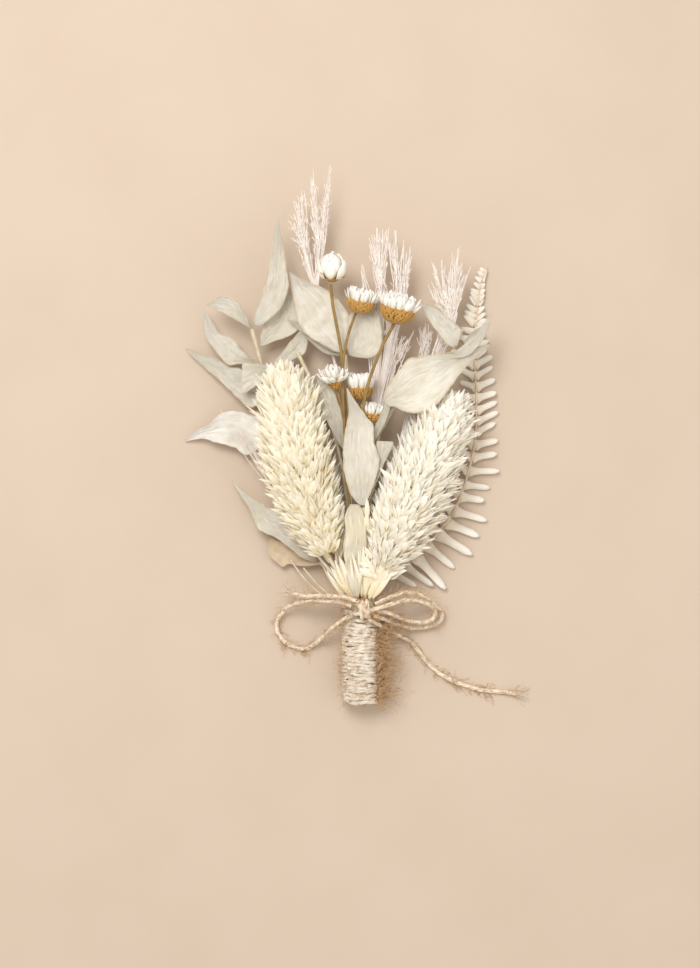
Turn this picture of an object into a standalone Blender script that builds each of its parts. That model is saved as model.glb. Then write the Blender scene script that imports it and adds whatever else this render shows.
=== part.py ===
"""Boutonniere of bleached dried flowers and leaves, bound and tied with jute twine, lying on its back.

Lengths are millimetres in the layout frame until MM turns them into metres: X runs across the bunch,
Y from the cut ends of the stems to the flower tips, and Z up from the surface that the bunch lies on.
The wrap's axis is at X 0 and its lower end at Y 0. seat_on_origin then moves the finished bunch so that
the middle of its underside is the origin.
"""

import math

import bmesh
import bpy
from mathutils import Matrix, Vector

MM = 0.001
GAP = 0.3

# The twine wrap and the bundle of stems inside it.
TWINE_DIAMETER = 1.05
WRAP_OUTER_RADIUS = 4.9
WRAP_INNER_RADIUS = WRAP_OUTER_RADIUS - 0.9
WRAP_LENGTH = 23.1
WRAP_TURNS = 20
BAND_START = WRAP_LENGTH + GAP
BAND_LENGTH = 3.3
BAND_TURNS = 3
BUNDLE_Z = WRAP_OUTER_RADIUS
STEM_PITCH = 1.55
STEM_RADIUS = 0.52
STEM_START = 0.4
BUNDLE_END = BAND_START + BAND_LENGTH

# The bow's knot, an ellipsoid that sits on the band.
KNOT_HALF_SIZE = (2.9, 2.2, 1.5)
KNOT_CENTRE = (0.9, 25.3, 2 * WRAP_OUTER_RADIUS + GAP + KNOT_HALF_SIZE[2])

# The two canary grass seed heads.
HEAD_RADIUS = 9.0
HEAD_STEPS = 16

LEAF_THICKNESS = 0.5
LEAF_ALONG, LEAF_ACROSS = 8, 2
LEAF_LEAST_HALF_WIDTH = 0.16

CREAM = (0.83, 0.78, 0.67)
IVORY = (0.87, 0.84, 0.75)
STRAW = (0.70, 0.58, 0.40)
TAN = (0.58, 0.44, 0.29)
JUTE = (0.62, 0.53, 0.41)
GOLDEN_BROWN = (0.42, 0.22, 0.05)
PAPER_WHITE = (0.88, 0.87, 0.83)


def clear_scene():
    """Removes every object that the file opened with."""
    for obj in list(bpy.data.objects):
        bpy.data.objects.remove(obj)


def new_collection(name):
    """A collection linked to the scene."""
    made = bpy.data.collections.new(name)
    bpy.context.scene.collection.children.link(made)
    return made


def material(name, colour, roughness=0.75):
    """A Principled material of one colour, made once."""
    if name in bpy.data.materials:
        return bpy.data.materials[name]
    made = bpy.data.materials.new(name)
    made.use_nodes = True
    shader = made.node_tree.nodes["Principled BSDF"]
    shader.inputs["Base Color"].default_value = (*colour, 1.0)
    shader.inputs["Roughness"].default_value = roughness
    shader.inputs["Metallic"].default_value = 0.0
    return made


def add_object(name, data, finish=None, collection="boutonniere"):
    """An object in its collection, with its material."""
    obj = bpy.data.objects.new(name, data)
    bpy.data.collections[collection].objects.link(obj)
    if finish:
        obj.data.materials.append(finish)
    return obj


def smooth_path(points, count):
    """count points, evenly spaced, on a Catmull-Rom curve through the given ones."""
    known = [Vector(p) for p in points]
    ends = [2 * known[0] - known[1], *known, 2 * known[-1] - known[-2]]
    dense = []
    for a, b, c, d in zip(ends, ends[1:], ends[2:], ends[3:]):
        for i in range(16):
            t = i / 16
            dense.append(
                0.5 * (2 * b + (c - a) * t + (2 * a - 5 * b + 4 * c - d) * t**2 + (3 * b - a - 3 * c + d) * t**3)
            )
    dense.append(known[-1])
    along = [0.0]
    for a, b in zip(dense, dense[1:]):
        along.append(along[-1] + (b - a).length)
    made, span = [], 0
    for i in range(count):
        wanted = along[-1] * i / (count - 1)
        while span < len(along) - 2 and along[span + 1] < wanted:
            span += 1
        share = (wanted - along[span]) / max(along[span + 1] - along[span], 1e-9)
        made.append(dense[span].lerp(dense[span + 1], min(share, 1.0)))
    return made


def path_length(points):
    """The length of the smooth curve through these points."""
    dense = smooth_path(points, 60)
    return sum((b - a).length for a, b in zip(dense, dense[1:]))


def tube(name, points, radius, spacing, finish, sides=6, collection="boutonniere"):
    """A round rod or twine along the smooth curve through these points."""
    count = max(3, round(path_length(points) / spacing) + 1)
    curve = bpy.data.curves.new(name, "CURVE")
    curve.dimensions = "3D"
    curve.bevel_depth = radius * MM
    curve.bevel_resolution = (sides - 4) // 2
    curve.use_fill_caps = True
    spline = curve.splines.new("POLY")
    spline.points.add(count - 1)
    for point, place in zip(spline.points, smooth_path(points, count)):
        point.co = (*(place * MM), 1.0)
    return add_object(name, curve, finish, collection)


def as_mesh(obj, collection):
    """The same object as a mesh with its caps welded, so that it can be joined to another."""
    bpy.context.view_layer.update()
    graph = bpy.context.evaluated_depsgraph_get()
    mesh = bpy.data.meshes.new_from_object(obj.evaluated_get(graph))
    work = bmesh.new()
    work.from_mesh(mesh)
    bmesh.ops.remove_doubles(work, verts=work.verts, dist=0.01 * MM)
    bmesh.ops.recalc_face_normals(work, faces=work.faces)
    work.to_mesh(mesh)
    work.free()
    name, place = obj.name, obj.matrix_world.copy()
    bpy.data.objects.remove(obj)
    made = add_object(name, mesh, None, collection)
    made.matrix_world = place
    return made


def join(body, others):
    """body with the other meshes joined to it by Boolean unions."""
    for other in others:
        other.hide_render = True
        other.display_type = "WIRE"
        union = body.modifiers.new(f"join_{other.name}", "BOOLEAN")
        union.operation = "UNION"
        union.object = other
    return body


def axis_matrix(start, end):
    """Places a shape made along +Z so that it runs from start towards end."""
    direction = Vector(end) - Vector(start)
    return Matrix.Translation(Vector(start) * MM) @ direction.to_track_quat("Z", "Y").to_matrix().to_4x4()


def turned(name, profile, steps, finish, place, closed=False):
    """A profile of (radius, height) points, listed top to bottom, turned once about its axis."""
    mesh = bpy.data.meshes.new(name)
    corners = [(r * MM, 0.0, h * MM) for r, h in profile]
    edges = [(i, i + 1) for i in range(len(corners) - 1)]
    if closed:
        edges.append((len(corners) - 1, 0))
    mesh.from_pydata(corners, edges, [])
    obj = add_object(name, mesh, finish)
    obj.matrix_world = place
    screw = obj.modifiers.new("turn", "SCREW")
    screw.steps = screw.render_steps = steps
    screw.use_merge_vertices = True
    screw.merge_threshold = 0.01 * MM
    return obj


# ---------------------------------------------------------------- stems

# Where each stem sits in the bundle: ring and angle in degrees, counted from +X towards +Z.
SLOTS = {
    "ruscus_a": (2, 240), "ruscus_b": (1, 180), "ruscus_c": (0, 0), "ruscus_d": (1, 0),
    "curled_leaf": (2, 210), "low_leaf": (2, 180), "centre_leaf": (2, 60),
    "daisy_a": (1, 120), "daisy_b": (1, 60), "canary_left": (2, 120), "canary_right": (2, 30),
    "fern": (2, 300), "brush_a": (1, 240), "brush_b": (1, 300), "brush_c": (2, 330), "brush_d": (2, 150),
}
RING_RADIUS = {0: 0.0, 1: STEM_PITCH, 2: 2 * STEM_PITCH}
# In a hexagonal packing the second ring's slots between its corners lie nearer the middle.
BETWEEN_CORNERS = math.sqrt(3) / 2

# Where each stem goes once it has left the band, as points up to its end.
STEM_ROUTES = {
    "ruscus_a": [(-4, 34, 1.7), (-9, 46, 1.4), (-15, 60, 1.4), (-20.5, 74, 1.6), (-24.3, 84, 3.2),
                 (-26, 90, 4.8), (-27.2, 94, 6.2), (-28.6, 99.2, 8)],
    "ruscus_b": [(-2.6, 40, 5.2), (-4, 58, 6), (-7.6, 74, 6.6), (-12.4, 84.5, 7.6), (-16.5, 93, 8)],
    "ruscus_c": [(-0.6, 40, 6.2), (-1.4, 55, 8), (-2.2, 70, 8.6), (-3.4, 85, 9), (-3.9, 92.4, 9.4)],
    "ruscus_d": [(2.2, 40, 6.2), (2.9, 55, 8.6), (4.2, 69, 9.8), (8, 77, 10.4), (14, 84, 10.6), (20, 89.5, 11),
                 (25, 93.3, 11.5), (26.7, 98.8, 12)],
    "curled_leaf": [(-6.2, 37, 4.2), (-10.5, 44, 3.6), (-15.5, 51, 3.4), (-21.3, 60.5, 3.2), (-25.2, 68, 3.8)],
    "low_leaf": [(-5.6, 32.5, 5), (-10.6, 37.6, 4.9)],
    "centre_leaf": [(1.3, 36, 8.9), (1.2, 45, 10.9), (0.9, 52.2, 12.6)],
    "canary_left": [(-4.6, 33, 9.4), (-8.2, 38.9, 11.2)],
    "canary_right": [(4.1, 31.5, 8.6), (5.45, 35, 10.7)],
}
STEM_SPACING = 7.0
THIN_STEM_RADIUS = 0.42


def slot(name, y):
    """The place of a stem in the bundle at height y along it."""
    ring, degrees = SLOTS[name]
    radius = RING_RADIUS[ring] * (BETWEEN_CORNERS if degrees % 60 and ring == 2 else 1.0)
    angle = math.radians(degrees)
    return Vector((radius * math.cos(angle), y, BUNDLE_Z + radius * math.sin(angle)))


def bundle_route(name, route):
    """The straight run through the wrap, and then the route."""
    inside = [slot(name, y) for y in (STEM_START, BUNDLE_END / 2, BAND_START, BUNDLE_END + 2.5)]
    return inside + [Vector(point) for point in route]


def make_stems(finish):
    for name, route in STEM_ROUTES.items():
        tube(f"{name}_stem", bundle_route(name, route), STEM_RADIUS, STEM_SPACING, finish)


# ---------------------------------------------------------------- leaves

# name: (spine, half width, widest at, taper, bank at base and tip in degrees, cup)
LEAVES = {
    "ruscus_a_leaf_1": ([(-28.2, 100.3, 8.6), (-25.2, 103.9, 10), (-23.3, 107.5, 10.8), (-21.9, 114, 11.2),
                         (-21.6, 120, 11), (-21.7, 129.2, 10)], 3.5, 0.36, 0.9, (0, 0), 0.15),
    "ruscus_a_leaf_2": ([(-29.5, 99.9, 8.4), (-31.7, 103.2, 9.6), (-35, 105.4, 10.2), (-38.5, 105, 9.6),
                         (-41.4, 107, 9)], 2.9, 0.42, 1.1, (10, 0), 0.2),
    "ruscus_a_leaf_3": ([(-27.6, 91.3, 4.7), (-31.5, 91.9, 4.7), (-36.5, 95.2, 5.2), (-39.8, 98.7, 5),
                         (-41.5, 104.4, 4)], 3.1, 0.42, 0.9, (0, 0), 0.15),
    "ruscus_a_leaf_4": ([(-25.2, 82.2, 2.6), (-30, 84, 2.8), (-34.5, 86.7, 2.6), (-40, 90.4, 1.8),
                         (-46.5, 94.6, 0.4)], 3.6, 0.34, 0.9, (0, 0), 0.1),
    "ruscus_a_leaf_5": ([(-31.2, 86.6, 6.6), (-26, 87.6, 6.1), (-20.5, 88.4, 7), (-15.8, 88.9, 8)],
                        4.3, 0.03, 1.2, (0, 0), 0.08),
    "ruscus_a_leaf_6": ([(-26.3, 95.1, 6.2), (-23, 99, 6.3), (-20.3, 104, 6.6), (-17.6, 110, 7)],
                        4.3, 0.45, 0.8, (0, 0), 0.1),
    "ruscus_b_leaf_1": ([(-22.8, 90.2, 5.8), (-19.5, 92.3, 6.6), (-17.4, 95.2, 7), (-15, 98.8, 6.8)],
                        2.3, 0.55, 0.8, (0, 0), 0.1),
    "ruscus_b_leaf_2": ([(-12.9, 86.1, 8.6), (-10.2, 82.6, 10), (-7.8, 78, 10.4), (-5.5, 71.2, 9.6)],
                        2.8, 0.4, 0.8, (0, 0), 0.15),
    "ruscus_c_leaf_1": ([(-4.3, 92.9, 9.4), (-8.4, 99.5, 9.2), (-12.6, 106, 9.3), (-18.9, 114.4, 8.4)],
                        6.2, 0.42, 0.9, (0, 0), 0.1),
    "ruscus_c_leaf_2": ([(-3, 92.3, 10.3), (-0.4, 93.4, 10.9), (1.1, 99, 11.3), (1.6, 106, 10.4)], 4.9, 0.45, 0.35, (0, 0), 0.12),
    "ruscus_c_leaf_3": ([(-5.2, 93, 8.1), (-9, 96.6, 7.6), (-13.5, 99.6, 7.6), (-19.3, 101.6, 8)],
                        2.4, 0.45, 0.8, (0, 0), 0.1),
    "ruscus_d_leaf_1": ([(5.1, 69.8, 11.3), (6.9, 74, 13.2), (8.5, 78.8, 14.6), (11.3, 82, 15.2), (16, 84.6, 15.6),
                         (22.3, 87.6, 15.2), (27, 91.2, 14), (34.2, 96.6, 12)], 7.3, 0.53, 1.7, (0, 0), 0.12),
    "ruscus_d_leaf_2": ([(24.7, 94.3, 12.7), (22.4, 97.6, 13), (19.4, 101.5, 12.6), (15.8, 105.7, 11.4)],
                        2.1, 0.45, 0.8, (0, 0), 0.1),
    "ruscus_d_leaf_3": ([(27.3, 95.2, 11.6), (30, 97.2, 11.2), (34.2, 100.4, 10)], 2.0, 0.5, 0.8, (0, 0), 0.1),
    "curled_leaf_blade": ([(-25.7, 68.6, 3.9), (-30, 72.2, 4.2), (-35, 73, 3.6), (-40, 72.3, 2.6),
                           (-46.7, 69.8, 0.5)], 4.5, 0.36, 1.0, (0, 0), 0.25),
    "low_leaf_blade": ([(-11.4, 38.4, 5), (-16, 42.7, 5.6), (-22, 47.8, 5.2), (-28, 53.3, 3.8),
                        (-34.3, 59.3, 2.6)], 3.4, 0.36, 0.9, (0, 0), 0.12),
    "low_leaf_under_blade": ([(-10.8, 37, 3.7), (-15, 38.6, 2.7), (-19.5, 39.9, 2.2), (-24.4, 41.6, 1.8)],
                             2.6, 0.6, 0.6, (0, 0), 0.1),
    "centre_leaf_blade": ([(0.7, 53, 13.4), (0.4, 60, 15), (-0.6, 68, 15.6), (-2.1, 76, 15.4), (-3.9, 82, 14.6)],
                          5.1, 0.36, 0.9, (0, 0), 0.15),
    "centre_leaf_back_blade": ([(1.6, 53.4, 12.7), (3.2, 61, 14), (6.6, 69.6, 15.2)],
                               2.3, 0.6, 0.7, (0, 0), 0.1),
    "sheath_leaf": ([(-1.4, 29.2, 10.2), (-1.8, 36, 11.2), (-1.8, 43, 12.3), (-1.2, 51.2, 12.4)],
                    2.2, 0.5, 0.45, (0, 0), 0.15),
}
TAN_LEAVES = ("low_leaf_under_blade",)


def leaf_width(share, half_width, widest, taper):
    """Half the blade's width at a share of its length: nil at both ends and full at widest."""
    if widest < 0.1:
        return max(half_width * (1 - share) ** taper, LEAF_LEAST_HALF_WIDTH)
    turned_share = share ** (math.log(0.5) / math.log(widest))
    return max(half_width * math.sin(math.pi * turned_share) ** taper, LEAF_LEAST_HALF_WIDTH)


def leaf(name, spine, half_width, widest, taper, bank, cup, finish):
    """A blade along its spine: a grid that is bent, narrowed, cupped and banked, with Solidify."""
    places = smooth_path(spine, LEAF_ALONG + 1)
    work = bmesh.new()
    bmesh.ops.create_grid(work, x_segments=LEAF_ALONG, y_segments=LEAF_ACROSS, size=1.0)
    for vert in work.verts:
        share, across = (vert.co.x + 1) / 2, vert.co.y
        station = min(LEAF_ALONG, round(share * LEAF_ALONG))
        before, after = places[max(station - 1, 0)], places[min(station + 1, LEAF_ALONG)]
        tangent = (after - before).normalized()
        roll = Matrix.Rotation(math.radians(bank[0] + (bank[1] - bank[0]) * share), 3, tangent)
        side = roll @ tangent.cross(Vector((0, 0, 1))).normalized()
        normal = side.cross(tangent)
        width = leaf_width(share, half_width, widest, taper)
        vert.co = (places[station] + side * (across * width) + normal * (cup * width * across**2)) * MM
    bmesh.ops.recalc_face_normals(work, faces=work.faces)
    mesh = bpy.data.meshes.new(name)
    work.to_mesh(mesh)
    work.free()
    obj = add_object(name, mesh, finish)
    shell = obj.modifiers.new("thickness", "SOLIDIFY")
    shell.thickness = LEAF_THICKNESS * MM
    shell.offset = 0.0
    return obj


def make_leaves(cream, tan):
    for name, shape in LEAVES.items():
        leaf(name, *shape, tan if name in TAN_LEAVES else cream)


# ---------------------------------------------------------------- canary grass heads

# name: (base, tip)
HEADS = {
    "canary_left_head": ((-8.4, 39.6, 11.6), (-20.4, 86.3, 13)),
    "canary_right_head": ((5.7, 35.6, 11), (23.4, 79, 12.6)),
}


def head_profile(length):
    """(radius, height) points of a seed head, tip first: an egg with its broad end down."""
    points = 10
    shares = [1 - i / points for i in range(points + 1)]
    return [(HEAD_RADIUS * max(math.sin(math.pi * s**0.85), 0.0) ** 0.62, s * length) for s in shares]


def make_heads(finish):
    for name, (base, tip) in HEADS.items():
        length = (Vector(tip) - Vector(base)).length
        profile = head_profile(length)
        profile[0], profile[-1] = (0.0, length), (0.0, 0.0)
        turned(name, profile, HEAD_STEPS, finish, axis_matrix(base, tip))


# ---------------------------------------------------------------- fern

FERN_ROUTE = [(4.6, 30.4, 2), (8.5, 34, 1.5), (14, 38, 1.3), (19.8, 44.2, 1.2), (24.6, 51.4, 1.2), (28, 60, 1.2),
              (30.4, 70, 1.2), (31.1, 80, 1.2), (30.3, 90, 1.2), (30.6, 98, 1.2), (31.5, 107, 1.2),
              (33.8, 116.3, 1.2)]
FERN_SAMPLES = 240
FERN_STALK_HALF_WIDTH = 0.5
FERN_THICKNESS = 0.8
FERN_FIRST_PINNA = 36.0
FERN_TIP_MARGIN = 1.2
FERN_DROOP = 0.07


def pinna_spacing(share):
    """The distance between two pinnae, closer towards the frond's tip."""
    return 4.1 - 2.7 * share


def pinna_length(share):
    """Long near the foot of the frond, halved at its middle and nil at its tip."""
    return 10.2 * (1 - share) ** 0.9 * min(1.0, 0.75 + 3 * share) + 2.0 * math.sin(math.pi * share)


def fern_stations():
    """(share of the frond, sample number) of each pair of pinnae."""
    route = smooth_path(bundle_route("fern", FERN_ROUTE), FERN_SAMPLES)
    step = (route[1] - route[0]).length
    total = step * (FERN_SAMPLES - 1)
    at, found = FERN_FIRST_PINNA, []
    while at < total - FERN_TIP_MARGIN:
        share = (at - FERN_FIRST_PINNA) / (total - FERN_FIRST_PINNA)
        found.append((share, round(at / step)))
        at += pinna_spacing(share)
    return route, found


def fern_side(route, stations, side):
    """The outline down one side of the frond, from its foot to its tip, as flat points."""
    flat = [Vector((p.x, p.y)) for p in route]
    made = []

    def frame(number):
        ahead = (flat[min(number + 1, len(flat) - 1)] - flat[max(number - 1, 0)]).normalized()
        return ahead, Vector((ahead.y, -ahead.x)) * side

    for number in range(0, stations[0][1] - 6, 12):
        made.append(flat[number] + frame(number)[1] * FERN_STALK_HALF_WIDTH)
    for share, number in stations:
        ahead, out = frame(number)
        root = 0.36 * pinna_spacing(share)
        towards = (out + ahead * (0.12 + 0.5 * share**2)).normalized()
        tip = flat[number] + towards * pinna_length(share)
        stalk = flat[number] + out * FERN_STALK_HALF_WIDTH * (1 - 0.5 * share)
        made += [stalk - ahead * root, tip - ahead * 0.35 * root, tip + ahead * 0.35 * root, stalk + ahead * root]
    return made


def make_fern(finish):
    """A flat outline filled and extruded, then bent so that the stalk rises to the tie and the pinnae droop."""
    route, stations = fern_stations()
    right = fern_side(route, stations, 1)
    left = fern_side(route, stations, -1)
    outline = right + [Vector((route[-1].x, route[-1].y))] + left[::-1]
    curve = bpy.data.curves.new("fern_frond", "CURVE")
    curve.dimensions = "2D"
    curve.fill_mode = "BOTH"
    curve.extrude = FERN_THICKNESS / 2 * MM
    spline = curve.splines.new("POLY")
    spline.points.add(len(outline) - 1)
    for point, place in zip(spline.points, outline):
        point.co = (place.x * MM, place.y * MM, 0.0, 1.0)
    spline.use_cyclic_u = True
    obj = as_mesh(add_object("fern_frond", curve, None), "boutonniere")
    obj.data.materials.append(finish)
    for vert in obj.data.vertices:
        here = Vector((vert.co.x / MM, vert.co.y / MM))
        nearest = min(route, key=lambda p: (p.x - here.x) ** 2 + (p.y - here.y) ** 2)
        aside = (Vector((nearest.x, nearest.y)) - here).length
        vert.co.z += (nearest.z - FERN_DROOP * max(aside - FERN_STALK_HALF_WIDTH, 0)) * MM


# ---------------------------------------------------------------- daisies

# name: (foot of the cup, way it faces, cup radius, cup depth, crown radius, crown height)
DAISIES = {
    "daisy_1": ((-7.8, 111, 13), (0.12, 1, 0.1), 2.2, 1.2, 3.4, 6.2),
    "daisy_2": ((-1, 103.4, 14.4), (0.2, 1, 0.15), 3.2, 2.6, 3.7, 4.2),
    "daisy_3": ((9, 100.5, 14.8), (0.18, 1, 0.2), 4.3, 3.6, 4.8, 4.4),
    "daisy_4": ((-6.3, 83.4, 12.4), (-0.35, 1, 0.2), 2.2, 2.6, 3.0, 3.6),
    "daisy_5": ((-0.2, 80.4, 11.2), (0.02, 1, 0.1), 3.2, 2.9, 3.5, 4.8),
    "daisy_6": ((3.4, 74.3, 13), (-0.04, 1, 0.2), 1.8, 2.0, 1.9, 3.2),
}
# name: (stem that it grows from, route)
DAISY_STEMS = {
    "daisy_a": [(-1.7, 36, 8.6), (-2.4, 48, 10.4), (-3.4, 60, 11.6), (-3.9, 70, 12.2), (-4.4, 80, 13),
                (-4.6, 90, 14), (-5.6, 97, 14), (-7, 104, 13.5), (-7.8, 110.7, 13)],
    "daisy_b": [(0.3, 36, 8), (-0.7, 50, 9.8), (-1.6, 62, 11), (-1.5, 68, 11.8), (-0.6, 74, 13.4), (0.8, 78.5, 15.4),
                (2, 84.5, 16.8), (4, 90, 16.4), (6.4, 95.8, 15.6), (8.9, 100.2, 14.8)],
}
DAISY_BRANCHES = {
    "daisy_a": [[(-4.6, 88.5, 13.9), (-4.1, 93, 14.5), (-2.8, 98.5, 14.7), (-1.1, 103.1, 14.4)],
                [(-4.3, 75.5, 12.3), (-5, 79.5, 12.5), (-6.2, 83.1, 12.4)]],
    "daisy_b": [[(-1.5, 67, 11.6), (-1.6, 72, 11.3), (-0.8, 76.5, 11), (-0.2, 80.1, 11.1)],
                [(-1.6, 65, 11.4), (0.4, 69, 12), (3.2, 74, 12.9)]],
}
CROWN_STEPS = 20
CUP_STEPS = 12


def make_daisy_stems(finish):
    for name, route in DAISY_STEMS.items():
        main = tube(f"{name}_stem", bundle_route(name, route), THIN_STEM_RADIUS, 6.0, None)
        body = as_mesh(main, "boutonniere")
        body.data.materials.append(finish)
        branches = [
            as_mesh(tube(f"{name}_branch_{i}", points, THIN_STEM_RADIUS * 0.9, 4.0, None, 6, "cutters"), "cutters")
            for i, points in enumerate(DAISY_BRANCHES[name])
        ]
        join(body, branches)


def crown(name, radius_low, radius_high, height, finish, place):
    """The papery bracts as one flared plug with a pointed rim and a dished top."""
    work = bmesh.new()
    profile = [(0, height * 0.62), (radius_high * 0.55, height * 0.7), (radius_high, height),
               (radius_low, GAP), (0, GAP)]
    corners = [work.verts.new((r * MM, 0, h * MM)) for r, h in profile]
    edges = [work.edges.new(pair) for pair in zip(corners, corners[1:])]
    bmesh.ops.spin(work, geom=corners + edges, cent=(0, 0, 0), axis=(0, 0, 1), angle=2 * math.pi,
                   steps=CROWN_STEPS, use_merge=True, use_duplicate=False)
    bmesh.ops.remove_doubles(work, verts=work.verts, dist=0.01 * MM)
    for vert in work.verts:
        turn = round(math.atan2(vert.co.y, vert.co.x) / (2 * math.pi) * CROWN_STEPS)
        if vert.co.z > 0.9 * height * MM and turn % 2:
            vert.co.z *= 0.74
            vert.co.x *= 0.9
            vert.co.y *= 0.9
    bmesh.ops.recalc_face_normals(work, faces=work.faces)
    mesh = bpy.data.meshes.new(name)
    work.to_mesh(mesh)
    work.free()
    obj = add_object(name, mesh, finish)
    obj.matrix_world = place
    return obj


def make_daisies(brown, white):
    for name, (foot, facing, cup_radius, depth, crown_radius, height) in DAISIES.items():
        way = Vector(facing).normalized()
        foot = Vector(foot)
        cup = [(0, depth * 0.8), (cup_radius * 0.8, depth * 0.9), (cup_radius, depth),
               (cup_radius * 0.72, depth * 0.42), (cup_radius * 0.2, 0), (0, 0)]
        turned(f"{name}_cup", cup, CUP_STEPS, brown, axis_matrix(foot, foot + way))
        rim = foot + way * depth
        crown(f"{name}_bracts", cup_radius * 0.9, crown_radius, height, white, axis_matrix(rim, rim + way))


# ---------------------------------------------------------------- brush grass

# name: (route to the hub, tips of the strands)
BRUSHES = {
    "brush_a": ([(-1.6, 40, 3.8), (-2.4, 55, 4.2), (-3.6, 72, 4.6), (-6.6, 90, 5.4), (-11.2, 106, 6.6),
                 (-12.6, 111.5, 7)],
                [(-18.8, 134, 8), (-17, 129, 8.2), (-15.6, 138, 8.6), (-13, 141.5, 8.4), (-12, 137, 9.2),
                 (-7.6, 142.3, 9.6), (-9.6, 132, 9.8)]),
    "brush_b": ([(0.9, 40, 4.4), (1.6, 52, 5.6), (2.8, 65, 6.4), (4.3, 76, 7)],
                [(2.4, 123, 9.2), (5.2, 126.4, 9), (7.3, 127.2, 8.6), (9.3, 125, 8.8), (11.4, 123, 9.2),
                 (14.2, 118.6, 9.4), (14, 98, 9), (10, 96, 8.6)]),
    "brush_c": ([(3.8, 38, 3.4), (5.4, 50, 4.2), (8.2, 62, 5), (12.5, 73, 6)],
                [(17.6, 113, 8.6), (19.2, 117.6, 8.4), (21.4, 117.4, 8), (24, 119.6, 8.4), (25.9, 120.6, 8.8),
                 (27.2, 118, 8.2), (28.8, 115.4, 8)]),
    "brush_d": ([(-6.6, 33.6, 7), (-13.4, 42.4, 7.2), (-19, 50.7, 7.4), (-22.8, 56.9, 7.3)],
                [(-37.2, 77.8, 8.8), (-34.6, 76.6, 8), (-32.4, 74, 8.4)]),
}
STRAND_ROOT_RADIUS = 0.36
STRAND_TIP_RADIUS = 0.18
STRAND_SIDES = 4


def strand(name, start, end):
    """One bristle or close clump of bristles: a thin tapered rod."""
    work = bmesh.new()
    length = (Vector(end) - Vector(start)).length
    bmesh.ops.create_cone(work, cap_ends=True, segments=STRAND_SIDES, radius1=STRAND_ROOT_RADIUS * MM,
                          radius2=STRAND_TIP_RADIUS * MM, depth=length * MM,
                          matrix=Matrix.Translation((0, 0, length / 2 * MM)))
    mesh = bpy.data.meshes.new(name)
    work.to_mesh(mesh)
    work.free()
    obj = add_object(name, mesh, None, "cutters")
    obj.matrix_world = axis_matrix(start, end)
    return obj


def make_brushes(finish):
    for name, (route, tips) in BRUSHES.items():
        body = as_mesh(tube(f"{name}_tuft", bundle_route(name, route), STEM_RADIUS, STEM_SPACING, None),
                       "boutonniere")
        body.data.materials.append(finish)
        hub, below = Vector(route[-1]), Vector(route[-2])
        down = (below - hub).normalized()
        strands = [
            strand(f"{name}_strand_{i}", hub + down * (0.8 + 0.9 * i), tip) for i, tip in enumerate(tips)
        ]
        join(body, strands)


# ---------------------------------------------------------------- twine

def sleeve(name, start, length, turns, finish):
    """Close turns of twine round the bundle: one ring with a ridge for each turn."""
    pitch = length / turns
    outer = []
    for turn in range(turns):
        outer += [(WRAP_OUTER_RADIUS - 0.3, turn * pitch), (WRAP_OUTER_RADIUS, (turn + 0.5) * pitch)]
    outer.append((WRAP_OUTER_RADIUS - 0.3, length))
    profile = outer[::-1] + [(WRAP_INNER_RADIUS, 0.0), (WRAP_INNER_RADIUS, length)]
    return turned(name, profile, 14, finish, axis_matrix((0, start, BUNDLE_Z), (0, start + 1, BUNDLE_Z)), True)


def knot_port(towards):
    """The point just outside the knot where a strand leaves it in that direction."""
    way = Vector(towards).normalized()
    reach = 1 / math.sqrt(sum((w / h) ** 2 for w, h in zip(way, KNOT_HALF_SIZE)))
    return Vector(KNOT_CENTRE) + way * (reach + 2 * GAP)


# name: (direction at the knot where it starts, route, direction where it ends or None)
TWINE_ROUTES = {
    "bow_loop_left": ((-1, 0.3, 0.15), [(-5, 27.2, 11.8), (-9.5, 27.6, 10.6), (-14.5, 27.3, 7.6),
                      (-19, 25.6, 3.8), (-21.8, 22.3, 1.4), (-22, 19, 0.8), (-20.3, 16.4, 0.7),
                      (-17.3, 14.7, 0.7), (-14.3, 14.4, 0.8), (-11.8, 15.8, 1.6), (-9.3, 18.2, 4),
                      (-6.9, 20.6, 7), (-4.4, 22.6, 9.9)], (-1, -0.45, -0.1)),
    "bow_loop_right_outer": ((1, 0.42, -0.1), [(7.6, 28.4, 11), (12.5, 29.7, 8.6), (17, 28.5, 6),
                             (20.6, 25.6, 3.6), (21.9, 22.8, 2.4), (20.2, 21, 2), (17, 20.1, 1.9),
                             (13.3, 20, 2.6), (9.6, 21.2, 5.2), (6.6, 22.6, 8.6)], (1, -0.55, -0.2)),
    "bow_loop_right_inner": ((1, 0.05, 0.45), [(7.6, 26.6, 13), (12, 27.7, 11), (16, 27.2, 8.4),
                             (19.2, 25.2, 5.8), (20.1, 23, 4.3), (18, 21.9, 3.9), (14.4, 22.1, 4.8),
                             (11, 23.3, 7.4), (7.8, 24.5, 10.4)], (1, -0.1, -0.05)),
    "twine_tail": ((0.55, -1, -0.25), [(4.3, 21.6, 9.4), (6.3, 20.3, 6.6), (8.4, 19.1, 3), (11, 17.6, 1),
                   (13.9, 15.8, 0.7), (16.6, 12.4, 0.7), (19.5, 9.1, 0.7), (23, 6.6, 0.7), (27, 4.9, 0.7),
                   (32, 3.4, 0.7), (36.4, 2.9, 0.7), (41.5, 2.4, 0.7)], None),
    "twine_end_left": ((-0.55, 1, 0.5), [(-4.6, 28.7, 13.2), (-9.5, 28.9, 12), (-14.2, 28.7, 9.1),
                       (-17.6, 29.2, 6.9)], None),
}
TWINE_POINT_SPACING = 2.4
TWINE_SIDES = 8


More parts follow.
